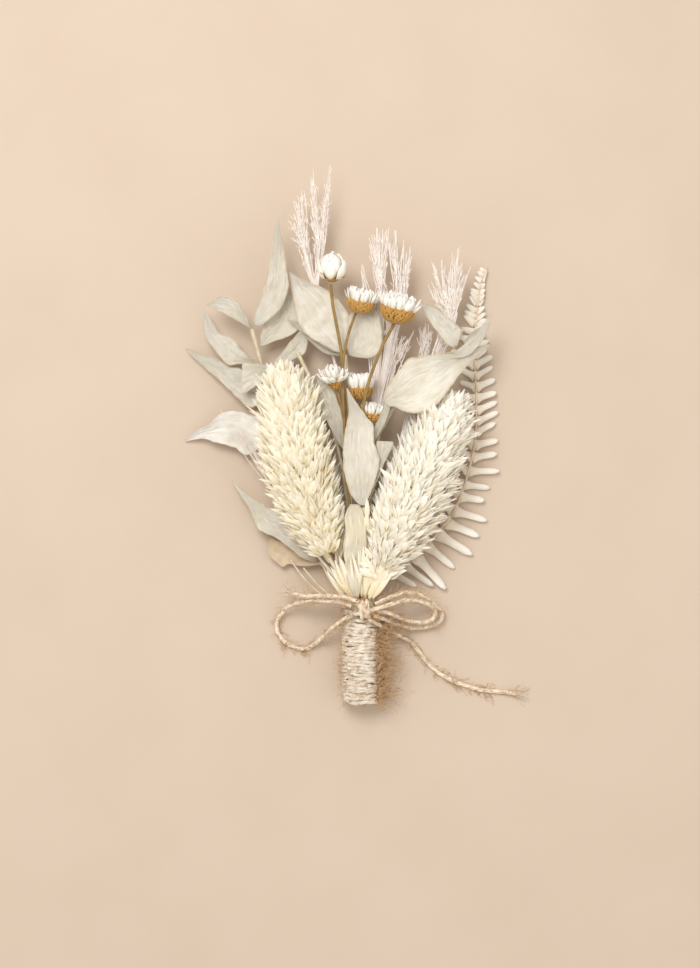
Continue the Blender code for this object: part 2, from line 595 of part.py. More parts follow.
def make_twine(finish):
    sleeve("twine_wrap", 0.0, WRAP_LENGTH, WRAP_TURNS, finish)
    sleeve("bow_band", BAND_START, BAND_LENGTH, BAND_TURNS, finish)
    bpy.ops.mesh.primitive_uv_sphere_add(segments=12, ring_count=8, radius=1.0)
    knot = bpy.context.object
    knot.name = "bow_knot"
    knot.data.transform(Matrix.Diagonal((*(h * MM for h in KNOT_HALF_SIZE), 1.0)))
    knot.location = Vector(KNOT_CENTRE) * MM
    knot.data.materials.append(finish)
    for holder in list(knot.users_collection):
        holder.objects.unlink(knot)
    bpy.data.collections["boutonniere"].objects.link(knot)
    for name, (start, route, end) in TWINE_ROUTES.items():
        points = [knot_port(start), *map(Vector, route)]
        if end:
            points.append(knot_port(end))
        tube(name, points, TWINE_DIAMETER / 2, TWINE_POINT_SPACING, finish, TWINE_SIDES)


CORDS = tuple(TWINE_ROUTES)


def seat_on_origin():
    """Moves the bunch so that the middle of its underside, without the free twine, is the origin."""
    bpy.context.view_layer.update()
    graph = bpy.context.evaluated_depsgraph_get()
    low, high = Vector((1e9,) * 3), Vector((-1e9,) * 3)
    pieces = bpy.data.collections["boutonniere"].objects
    for obj in pieces:
        if obj.name in CORDS:
            continue
        shaped = obj.evaluated_get(graph)
        mesh = shaped.to_mesh()
        for vert in mesh.vertices:
            place = shaped.matrix_world @ vert.co
            low = Vector(map(min, low, place))
            high = Vector(map(max, high, place))
        shaped.to_mesh_clear()
    shift = Vector((-(low.x + high.x) / 2, -(low.y + high.y) / 2, -low.z))
    carrier = bpy.data.objects.new("layout_frame", None)
    bpy.data.collections["boutonniere"].objects.link(carrier)
    carrier.location = shift
    for obj in [*pieces, *bpy.data.collections["cutters"].objects]:
        if obj is not carrier:
            obj.parent = carrier


def main():
    clear_scene()
    new_collection("boutonniere")
    new_collection("cutters")
    cream = material("bleached_leaf", CREAM)
    tan = material("tan_leaf", TAN)
    straw = material("straw_stem", STRAW)
    jute = material("jute_twine", JUTE, 0.9)
    brown = material("golden_brown_cup", GOLDEN_BROWN)
    white = material("papery_bract", PAPER_WHITE, 0.6)
    grass = material("seed_head", IVORY, 0.85)
    make_stems(straw)
    make_daisy_stems(brown)
    make_leaves(cream, tan)
    make_heads(grass)
    make_fern(cream)
    make_daisies(brown, white)
    make_brushes(grass)
    make_twine(jute)
    seat_on_origin()


main()
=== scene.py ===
"""Looks of a bleached dried flower boutonniere, tied with jute twine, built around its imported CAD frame.

Shapes are written in millimetres in the layout frame: X across the bunch, Y from the cut stem ends to the
flower tips, Z up from the surface that the bunch lies on. Layout turns them into metres in the row frame.
"""
import logging
import math
import random
from dataclasses import dataclass, field
from enum import Enum

import bmesh
import bpy
from mathutils import Matrix, Vector, noise


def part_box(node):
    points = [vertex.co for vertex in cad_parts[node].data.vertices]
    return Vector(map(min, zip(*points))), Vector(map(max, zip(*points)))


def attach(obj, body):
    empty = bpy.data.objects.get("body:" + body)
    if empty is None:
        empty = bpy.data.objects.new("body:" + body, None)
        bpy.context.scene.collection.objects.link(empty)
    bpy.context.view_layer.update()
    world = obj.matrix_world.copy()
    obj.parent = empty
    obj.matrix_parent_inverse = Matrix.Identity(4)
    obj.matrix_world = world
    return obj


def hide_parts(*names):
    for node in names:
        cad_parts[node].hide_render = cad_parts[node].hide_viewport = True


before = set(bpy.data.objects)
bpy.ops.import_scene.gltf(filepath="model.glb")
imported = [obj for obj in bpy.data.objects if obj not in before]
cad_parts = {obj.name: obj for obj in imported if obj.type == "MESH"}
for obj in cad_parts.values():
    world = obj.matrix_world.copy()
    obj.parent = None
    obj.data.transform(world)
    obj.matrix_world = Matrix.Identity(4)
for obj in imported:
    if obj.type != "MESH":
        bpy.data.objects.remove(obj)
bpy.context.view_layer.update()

logging.basicConfig(level=logging.INFO, format="%(message)s")
log = logging.getLogger("boutonniere")

MM = 0.001
WRAP_RADIUS = 4.9
GOLDEN_ANGLE = math.pi * (3 - math.sqrt(5))
Path = list[Vector]


class Layout:
    """Where the layout frame lies in the row frame, read from the twine wrap's place."""

    low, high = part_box("twine_wrap")
    shift = Vector(((low.x + high.x) / 2, low.y, low.z))
    matrix = Matrix.Translation(shift) @ Matrix.Scale(MM, 4)

    @classmethod
    def at(cls, x: float, y: float, z: float) -> Vector:
        """The place in the row frame, in metres, of a layout point in millimetres."""
        return cls.matrix @ Vector((x, y, z))


class Slot(Enum):
    """The record's material slots."""

    LEAF = "bleached_leaf"
    TAN_LEAF = "tan_leaf"
    STEM = "straw_stem"
    SEED_HEAD = "seed_head"
    CUP = "golden_brown_cup"
    BRACT = "papery_bract"
    TWINE = "jute_twine"


# ---------------------------------------------------------------- finishes


@dataclass(frozen=True)
class Finish:
    """A dry plant or fibre surface with mottled colour and fine relief.

    Args:
        name: the material's name.
        light: the main colour, linear RGB.
        dark: the colour of its darker patches.
        patch: patches per metre.
        stretch: how the relief is stretched along X, Y and Z of its coordinates.
        relief: relief cells per metre, or per UV unit where uv is set.
        bump: relief depth in metres.
        roughness: surface roughness.
        sheen: how bright the papery or hairy surface is at a low angle.
        uv: whether the relief follows the piece's own UV map.
        tip: colour towards U 1 of the UV map, or None.
        rim: colour of a dry rim near V 0 and V 1 of the UV map, or None.
    """

    name: str
    light: tuple[float, float, float]
    dark: tuple[float, float, float]
    patch: float = 300.0
    stretch: tuple[float, float, float] = (1, 1, 1)
    relief: float = 1500.0
    bump: float = 0.0001
    roughness: float = 0.7
    sheen: float = 0.15
    uv: bool = False
    tip: tuple[float, float, float] | None = None
    rim: tuple[float, float, float] | None = None

    def build(self) -> bpy.types.Material:
        """The node material, made once."""
        if self.name in bpy.data.materials:
            return bpy.data.materials[self.name]
        made = bpy.data.materials.new(self.name)
        made.use_nodes = True
        nodes, links = made.node_tree.nodes, made.node_tree.links
        shader = nodes["Principled BSDF"]
        shader.inputs["Roughness"].default_value = self.roughness
        shader.inputs["Sheen Weight"].default_value = self.sheen
        shader.inputs["Sheen Roughness"].default_value = 0.6
        shader.inputs["Sheen Tint"].default_value = (1.0, 0.92, 0.78, 1)
        shader.inputs["Specular IOR Level"].default_value = 0.25
        place = nodes.new("ShaderNodeTexCoord")
        patches = self._noise(nodes, self.patch, 3)
        links.new(place.outputs["Object"], patches.inputs["Vector"])
        ramp = nodes.new("ShaderNodeValToRGB")
        ramp.color_ramp.elements[0].position = 0.32
        ramp.color_ramp.elements[1].position = 0.62
        ramp.color_ramp.elements[0].color = (*self.dark, 1)
        ramp.color_ramp.elements[1].color = (*self.light, 1)
        links.new(patches.outputs["Fac"], ramp.inputs["Fac"])
        colour = ramp.outputs["Color"]
        mapping = nodes.new("ShaderNodeMapping")
        mapping.inputs["Scale"].default_value = self.stretch
        links.new(place.outputs["UV" if self.uv else "Object"], mapping.inputs["Vector"])
        relief = self._noise(nodes, self.relief, 4)
        links.new(mapping.outputs["Vector"], relief.inputs["Vector"])
        if self.uv:
            streaks = nodes.new("ShaderNodeMix")
            streaks.data_type = "RGBA"
            streaks.blend_type = "MULTIPLY"
            streaks.inputs["Factor"].default_value = 0.35
            links.new(colour, streaks.inputs["A"])
            grey = nodes.new("ShaderNodeValToRGB")
            grey.color_ramp.elements[0].position = 0.3
            grey.color_ramp.elements[1].position = 0.6
            grey.color_ramp.elements[0].color = (0.76, 0.72, 0.64, 1)
            grey.color_ramp.elements[1].color = (1, 1, 1, 1)
            links.new(relief.outputs["Fac"], grey.inputs["Fac"])
            links.new(grey.outputs["Color"], streaks.inputs["B"])
            colour = streaks.outputs["Result"]
        if self.tip:
            along = nodes.new("ShaderNodeSeparateXYZ")
            links.new(place.outputs["UV"], along.inputs["Vector"])
            fade = nodes.new("ShaderNodeMix")
            fade.data_type = "RGBA"
            links.new(along.outputs["X"], fade.inputs["Factor"])
            links.new(colour, fade.inputs["A"])
            fade.inputs["B"].default_value = (*self.tip, 1)
            colour = fade.outputs["Result"]
        if self.rim:
            colour = self._rimmed(nodes, links, place, colour)
        links.new(colour, shader.inputs["Base Color"])
        bump = nodes.new("ShaderNodeBump")
        bump.inputs["Distance"].default_value = self.bump
        bump.inputs["Strength"].default_value = 0.8
        links.new(relief.outputs["Fac"], bump.inputs["Height"])
        links.new(bump.outputs["Normal"], shader.inputs["Normal"])
        return made

    def _rimmed(self, nodes: bpy.types.Nodes, links: bpy.types.NodeLinks, place: bpy.types.Node,
                colour: bpy.types.NodeSocket) -> bpy.types.NodeSocket:
        """The colour with the rim's colour along both long edges."""
        split = nodes.new("ShaderNodeSeparateXYZ")
        links.new(place.outputs["UV"], split.inputs["Vector"])
        middle = nodes.new("ShaderNodeMath")
        middle.operation = "SUBTRACT"
        middle.inputs[1].default_value = 0.5
        links.new(split.outputs["Y"], middle.inputs[0])
        away = nodes.new("ShaderNodeMath")
        away.operation = "ABSOLUTE"
        links.new(middle.outputs["Value"], away.inputs[0])
        edge = nodes.new("ShaderNodeMapRange")
        edge.inputs["From Min"].default_value = 0.44
        edge.inputs["From Max"].default_value = 0.5
        edge.inputs["To Max"].default_value = 0.75
        links.new(away.outputs["Value"], edge.inputs["Value"])
        fade = nodes.new("ShaderNodeMix")
        fade.data_type = "RGBA"
        links.new(edge.outputs["Result"], fade.inputs["Factor"])
        links.new(colour, fade.inputs["A"])
        fade.inputs["B"].default_value = (*self.rim, 1)
        return fade.outputs["Result"]

    @staticmethod
    def _noise(nodes: bpy.types.Nodes, scale: float, detail: float) -> bpy.types.Node:
        """A noise texture node."""
        made = nodes.new("ShaderNodeTexNoise")
        made.inputs["Scale"].default_value = scale
        made.inputs["Detail"].default_value = detail
        return made


IVORY_LEAF = Finish("ivory_leaf", (0.97, 0.92, 0.81), (0.90, 0.83, 0.68), 140, (3, 46, 1), 1.7, 0.0007, 0.6,
                    0.25, True, None, (0.72, 0.56, 0.34))
CREAM_LEAF = Finish("cream_leaf", (0.99, 0.93, 0.77), (0.93, 0.83, 0.60), 160, (2, 30, 1), 1.8, 0.0006, 0.6,
                    0.3, True, None, (0.75, 0.58, 0.34))
SILVER_LEAF = Finish("silver_leaf", (0.96, 0.94, 0.89), (0.80, 0.75, 0.68), 160, (2, 30, 1), 1.8, 0.0003, 0.45,
                     0.3, True, None, (0.78, 0.68, 0.55))
# Darker tan for the blade that lies under the low leaf: painted shade beneath that leaf.
SHADED_TAN_BLADE = Finish("shaded_tan_blade", (0.72, 0.58, 0.42), (0.60, 0.46, 0.31), 160, (2, 30, 1), 1.8, 0.0001, 0.65, 0.3,
                   True)
STRAW = Finish("straw", (0.82, 0.74, 0.56), (0.68, 0.56, 0.36), 500, (1, 0.1, 1), 2500, 0.00005)
# Each bract or paper is yellower at its foot and whiter towards its tip. The yellower foot is painted shade in the
# gaps between the bracts; on the left head it is partly that head's own cream.
CREAM_BRACT = Finish("cream_bract", (0.99, 0.88, 0.62), (0.96, 0.81, 0.50), 500, (2, 9, 1), 1.5, 0.00004, 0.6,
                     0.3, True, (0.99, 0.95, 0.83))
WHITE_BRACT = Finish("white_bract", (0.99, 0.91, 0.72), (0.97, 0.85, 0.60), 500, (2, 9, 1), 1.5, 0.00004, 0.6,
                     0.3, True, (0.99, 0.97, 0.91))
PAPER_PETAL = Finish("paper_petal", (0.95, 0.89, 0.74), (0.88, 0.79, 0.60), 400, (2, 12, 1), 1.5, 0.00005, 0.45,
                     0.25, True, (0.98, 0.97, 0.94))
BROWN_SCALE = Finish("brown_scale", (0.44, 0.20, 0.035), (0.27, 0.11, 0.02), 700, (2, 8, 1), 1.5, 0.00005, 0.45,
                     0.1, True, (0.66, 0.38, 0.10))
BROWN_STEM = Finish("brown_stem", (0.36, 0.22, 0.07), (0.24, 0.15, 0.05), 400, (1, 0.1, 1), 2500, 0.00005)
FERN_SKIN = Finish("fern_skin", (0.90, 0.80, 0.66), (0.82, 0.70, 0.55), 260, (2, 14, 1), 1.6, 0.00012, 0.6, 0.25,
                   True, (0.97, 0.94, 0.87))
FERN_STALK = Finish("fern_stalk", (0.78, 0.62, 0.46), (0.66, 0.5, 0.35), 300, (1, 1, 1), 2500, 0.00003)
BRISTLE = Finish("bristle", (0.99, 0.93, 0.88), (0.94, 0.84, 0.77), 300, (1, 1, 1), 2500, 0.00002, 0.5, 0.3)
JUTE = Finish("jute", (0.95, 0.85, 0.71), (0.78, 0.64, 0.47), 900, (1, 1, 1), 5000, 0.00008, 0.85, 0.05)
JUTE_WRAP = Finish("jute_wrap", (0.90, 0.83, 0.73), (0.72, 0.62, 0.50), 700, (0.1, 1, 0.1), 9000, 0.00012, 0.8, 0.05)
JUTE_FUZZ = Finish("jute_fuzz", (0.72, 0.50, 0.30), (0.50, 0.31, 0.15), 700, (1, 1, 1), 4000, 0.00002, 0.7, 0.05)
TABLE = Finish("table", (0.66, 0.54, 0.43), (0.64, 0.52, 0.41), 30, (1, 1, 1), 900, 0.00004, 0.8, 0.0)


# ---------------------------------------------------------------- making shapes


def smooth_path(points: list, count: int) -> Path:
    """Evenly spaced points on the Catmull-Rom curve through the given ones.

    Args:
        points: two or more points.
        count: how many points to return.

    Returns:
        The points, in the same units.
    """
    known = [Vector(p) for p in points]
    ends = [2 * known[0] - known[1], *known, 2 * known[-1] - known[-2]]
    dense = []
    for a, b, c, d in zip(ends, ends[1:], ends[2:], ends[3:]):
        for i in range(16):
            t = i / 16
            square, cube = t * t, t * t * t
            dense.append(0.5 * (2 * b + (c - a) * t + (2 * a - 5 * b + 4 * c - d) * square
                                + (3 * b - a - 3 * c + d) * cube))
    dense.append(known[-1])
    along = [0.0]
    for a, b in zip(dense, dense[1:]):
        along.append(along[-1] + (b - a).length)
    made, span = [], 0
    for i in range(count):
        wanted = along[-1] * i / (count - 1)
        while span < len(along) - 2 and along[span + 1] < wanted:
            span += 1
        share = (wanted - along[span]) / max(along[span + 1] - along[span], 1e-9)
        made.append(dense[span].lerp(dense[span + 1], min(share, 1.0)))
    return made


def length_of(points: Path) -> float:
    """The length along the points."""
    return sum((b - a).length for a, b in zip(points, points[1:]))


def between(values: list[float] | tuple[float, ...], share: float) -> float:
    """The value at a share of the way along evenly spaced values."""
    at = min(max(share, 0.0), 1.0) * (len(values) - 1)
    low = min(int(at), len(values) - 2)
    return values[low] + (values[low + 1] - values[low]) * (at - low)


def ripple(place: Vector, size: float, seed: float = 0.0) -> float:
    """Smooth noise from about -0.5 to 0.5 that varies over size millimetres."""
    return 0.5 * noise.noise(place / size + Vector((seed, 1.7 * seed, -seed)))


def show(obj: bpy.types.Object, finish: Finish, nodes: list[str]) -> bpy.types.Object:
    """Gives a piece its finish and body, and hides the CAD nodes it stands for."""
    obj.data.materials.clear()
    obj.data.materials.append(finish.build())
    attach(obj, "root")
    if nodes:
        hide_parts(*nodes)
    log.info("%s made", obj.name)
    return obj


def mesh_object(name: str, work: bmesh.types.BMesh, smooth: bool = True) -> bpy.types.Object:
    """An object from a mesh worked in layout millimetres, smooth-shaded or crisp."""
    work.transform(Layout.matrix)
    for face in work.faces:
        face.smooth = smooth
    mesh = bpy.data.meshes.new(name)
    work.to_mesh(mesh)
    work.free()
    obj = bpy.data.objects.new(name, mesh)
    bpy.context.scene.collection.objects.link(obj)
    return obj


@dataclass(frozen=True)
class BladeTemplate:
    """A small pointed blade along +X with its upper side towards +Z, one unit long.

    Args:
        width: its full width, as a share of its length.
        cells: grid cells along and across.
        widest: where it is widest, as a share of its length.
        keel: how far its middle stands above its edges, as a share of its width.
        curl: how far its tip turns up, as a share of its length.
        blunt: how blunt the tip is, from 0 for a point.
        thickness: its thickness, as a share of its length.
        profile: its width along its length, as shares of the full width, where no smooth swell will do.
    """

    width: float
    cells: tuple[int, int] = (5, 2)
    widest: float = 0.4
    keel: float = 0.35
    curl: float = 0.1
    blunt: float = 0.04
    thickness: float = 0.03
    profile: tuple[float, ...] = ()

    def build(self) -> bpy.types.Mesh:
        """The blade's mesh."""
        work = bmesh.new()
        bmesh.ops.create_grid(work, x_segments=self.cells[0], y_segments=self.cells[1], size=1.0,
                              calc_uvs=True)
        layer = work.loops.layers.uv.verify()
        for face in work.faces:
            for loop in face.loops:
                loop[layer].uv = ((loop.vert.co.x + 1) / 2, (loop.vert.co.y + 1) / 2)
        for vert in work.verts:
            along, across = (vert.co.x + 1) / 2, vert.co.y
            power = math.log(0.5) / math.log(self.widest)
            swell = math.sin(math.pi * min(along**power, 1.0)) ** 0.8
            half = self.width / 2 * max(swell, self.blunt if along > 0.5 else 0.3)
            if self.profile:
                swell = between(self.profile, along)
                half = self.width / 2 * swell
            vert.co = (along, across * half, self.keel * self.width * (1 - abs(across)) * swell
                       + self.curl * along**2)
        bmesh.ops.recalc_face_normals(work, faces=work.faces)
        bmesh.ops.solidify(work, geom=list(work.faces), thickness=self.thickness)
        bmesh.ops.recalc_face_normals(work, faces=work.faces)
        mesh = bpy.data.meshes.new("template")
        work.to_mesh(mesh)
        work.free()
        return mesh


def stamp(work: bmesh.types.BMesh, template: bpy.types.Mesh, place: Matrix) -> None:
    """Adds one placed copy of a template to the mesh."""
    copy = template.copy()
    copy.transform(place)
    work.from_mesh(copy)
    bpy.data.meshes.remove(copy)


def facing(foot: Vector, forward: Vector, up: Vector, size: tuple[float, float, float]) -> Matrix:
    """A matrix that lays a template from foot along forward, with its upper side towards up."""
    x = forward.normalized()
    y = up.cross(x).normalized()
    z = x.cross(y)
    turn = Matrix((x, y, z)).transposed().to_4x4()
    return Matrix.Translation(foot) @ turn @ Matrix.Diagonal((*size, 1.0))


def rods(name: str, routes: list[tuple[Path, float, float]], sides: int = 0) -> bpy.types.Object:
    """Many round rods as one mesh.

    Args:
        name: the object's name.
        routes: each rod's points, its radius at the start and its radius at the end, in millimetres.
        sides: the curve's bevel resolution.

    Returns:
        The object, in place.
    """
    curve = bpy.data.curves.new(name, "CURVE")
    curve.dimensions = "3D"
    curve.bevel_depth = MM
    curve.bevel_resolution = sides
    curve.use_fill_caps = True
    for points, thick, thin in routes:
        spline = curve.splines.new("POLY")
        spline.points.add(len(points) - 1)
        for i, place in enumerate(points):
            spline.points[i].co = (*Layout.at(*place), 1.0)
            spline.points[i].radius = thick + (thin - thick) * i / (len(points) - 1)
    holder = bpy.data.objects.new(f"{name}_route", curve)
    bpy.context.scene.collection.objects.link(holder)
    bpy.context.view_layer.update()
    graph = bpy.context.evaluated_depsgraph_get()
    mesh = bpy.data.meshes.new_from_object(holder.evaluated_get(graph))
    bpy.data.objects.remove(holder)
    work = bmesh.new()
    work.from_mesh(mesh)
    bmesh.ops.remove_doubles(work, verts=work.verts, dist=1e-7)
    bmesh.ops.recalc_face_normals(work, faces=work.faces)
    for face in work.faces:
        face.smooth = True
    work.to_mesh(mesh)
    work.free()
    mesh.name = name
    obj = bpy.data.objects.new(name, mesh)
    bpy.context.scene.collection.objects.link(obj)
    return obj


# ---------------------------------------------------------------- leaves


@dataclass(frozen=True)
class Leaf:
    """A dry leaf blade between two edges that run from its base to its tip.

    Args:
        node: the CAD node it stands for.
        left: one edge, as (X, Y) points.
        right: the other edge.
        heights: Z along the midrib, base to tip.
        cup: how far the edges rise above the midrib.
        tilt: how far the right edge stands above the left.
        wave: depth of the crinkles.
        finish: its surface.
        stands_in: whether it stands for its CAD node, and isn't a further part of that leaf.
    """

    node: str
    left: tuple
    right: tuple
    heights: tuple
    cup: float = 0.7
    tilt: float = 0.0
    wave: float = 1.0
    finish: Finish = IVORY_LEAF
    stands_in: bool = True

    cells = (56, 20)
    thickness = 0.16

    def build(self) -> bpy.types.Object:
        """The blade as a bent grid with a thickness."""
        along_cells, across_cells = self.cells
        edges = [smooth_path([(*p, 0) for p in side], along_cells + 1) for side in (self.left, self.right)]
        seed = len(self.node) + self.left[0][0]
        work = bmesh.new()
        bmesh.ops.create_grid(work, x_segments=along_cells, y_segments=across_cells, size=1.0, calc_uvs=True)
        layer = work.loops.layers.uv.verify()
        for face in work.faces:
            for loop in face.loops:
                loop[layer].uv = ((loop.vert.co.x + 1) / 2, (loop.vert.co.y + 1) / 2)
        for vert in work.verts:
            along, across = (vert.co.x + 1) / 2, vert.co.y
            station = min(round(along * along_cells), along_cells)
            a, b = edges[0][station], edges[1][station]
            wide = (b - a).length
            place = a.lerp(b, (across + 1) / 2)
            room = min(1.0, wide / 6)
            place += (b - a).normalized() * across * room * 0.5 * ripple(place, 1.4, seed) if wide > 0.01 else Vector()
            height = between(self.heights, along) + self.tilt * across * room
            height += self.cup * room * (across**2 - 0.4)
            height -= 0.28 * room * math.exp(-(across / 0.1) ** 2)
            height += 2 * self.wave * room * ripple(Vector((place.x, place.y, 0)), 7, seed)
            height += 0.7 * self.wave * room * ripple(Vector((along * 8, across * 7, 0)), 1.3, seed)
            height += 1.4 * self.wave * room * abs(ripple(Vector((place.x, place.y, 9)), 3.0, seed))
            vert.co = (place.x, place.y, height)
        bmesh.ops.remove_doubles(work, verts=work.verts, dist=0.01)
        bmesh.ops.recalc_face_normals(work, faces=work.faces)
        bmesh.ops.solidify(work, geom=list(work.faces), thickness=self.thickness)
        bmesh.ops.recalc_face_normals(work, faces=work.faces)
        obj = mesh_object(f"{self.node}_look", work)
        return show(obj, self.finish, [self.node] if self.stands_in else [])


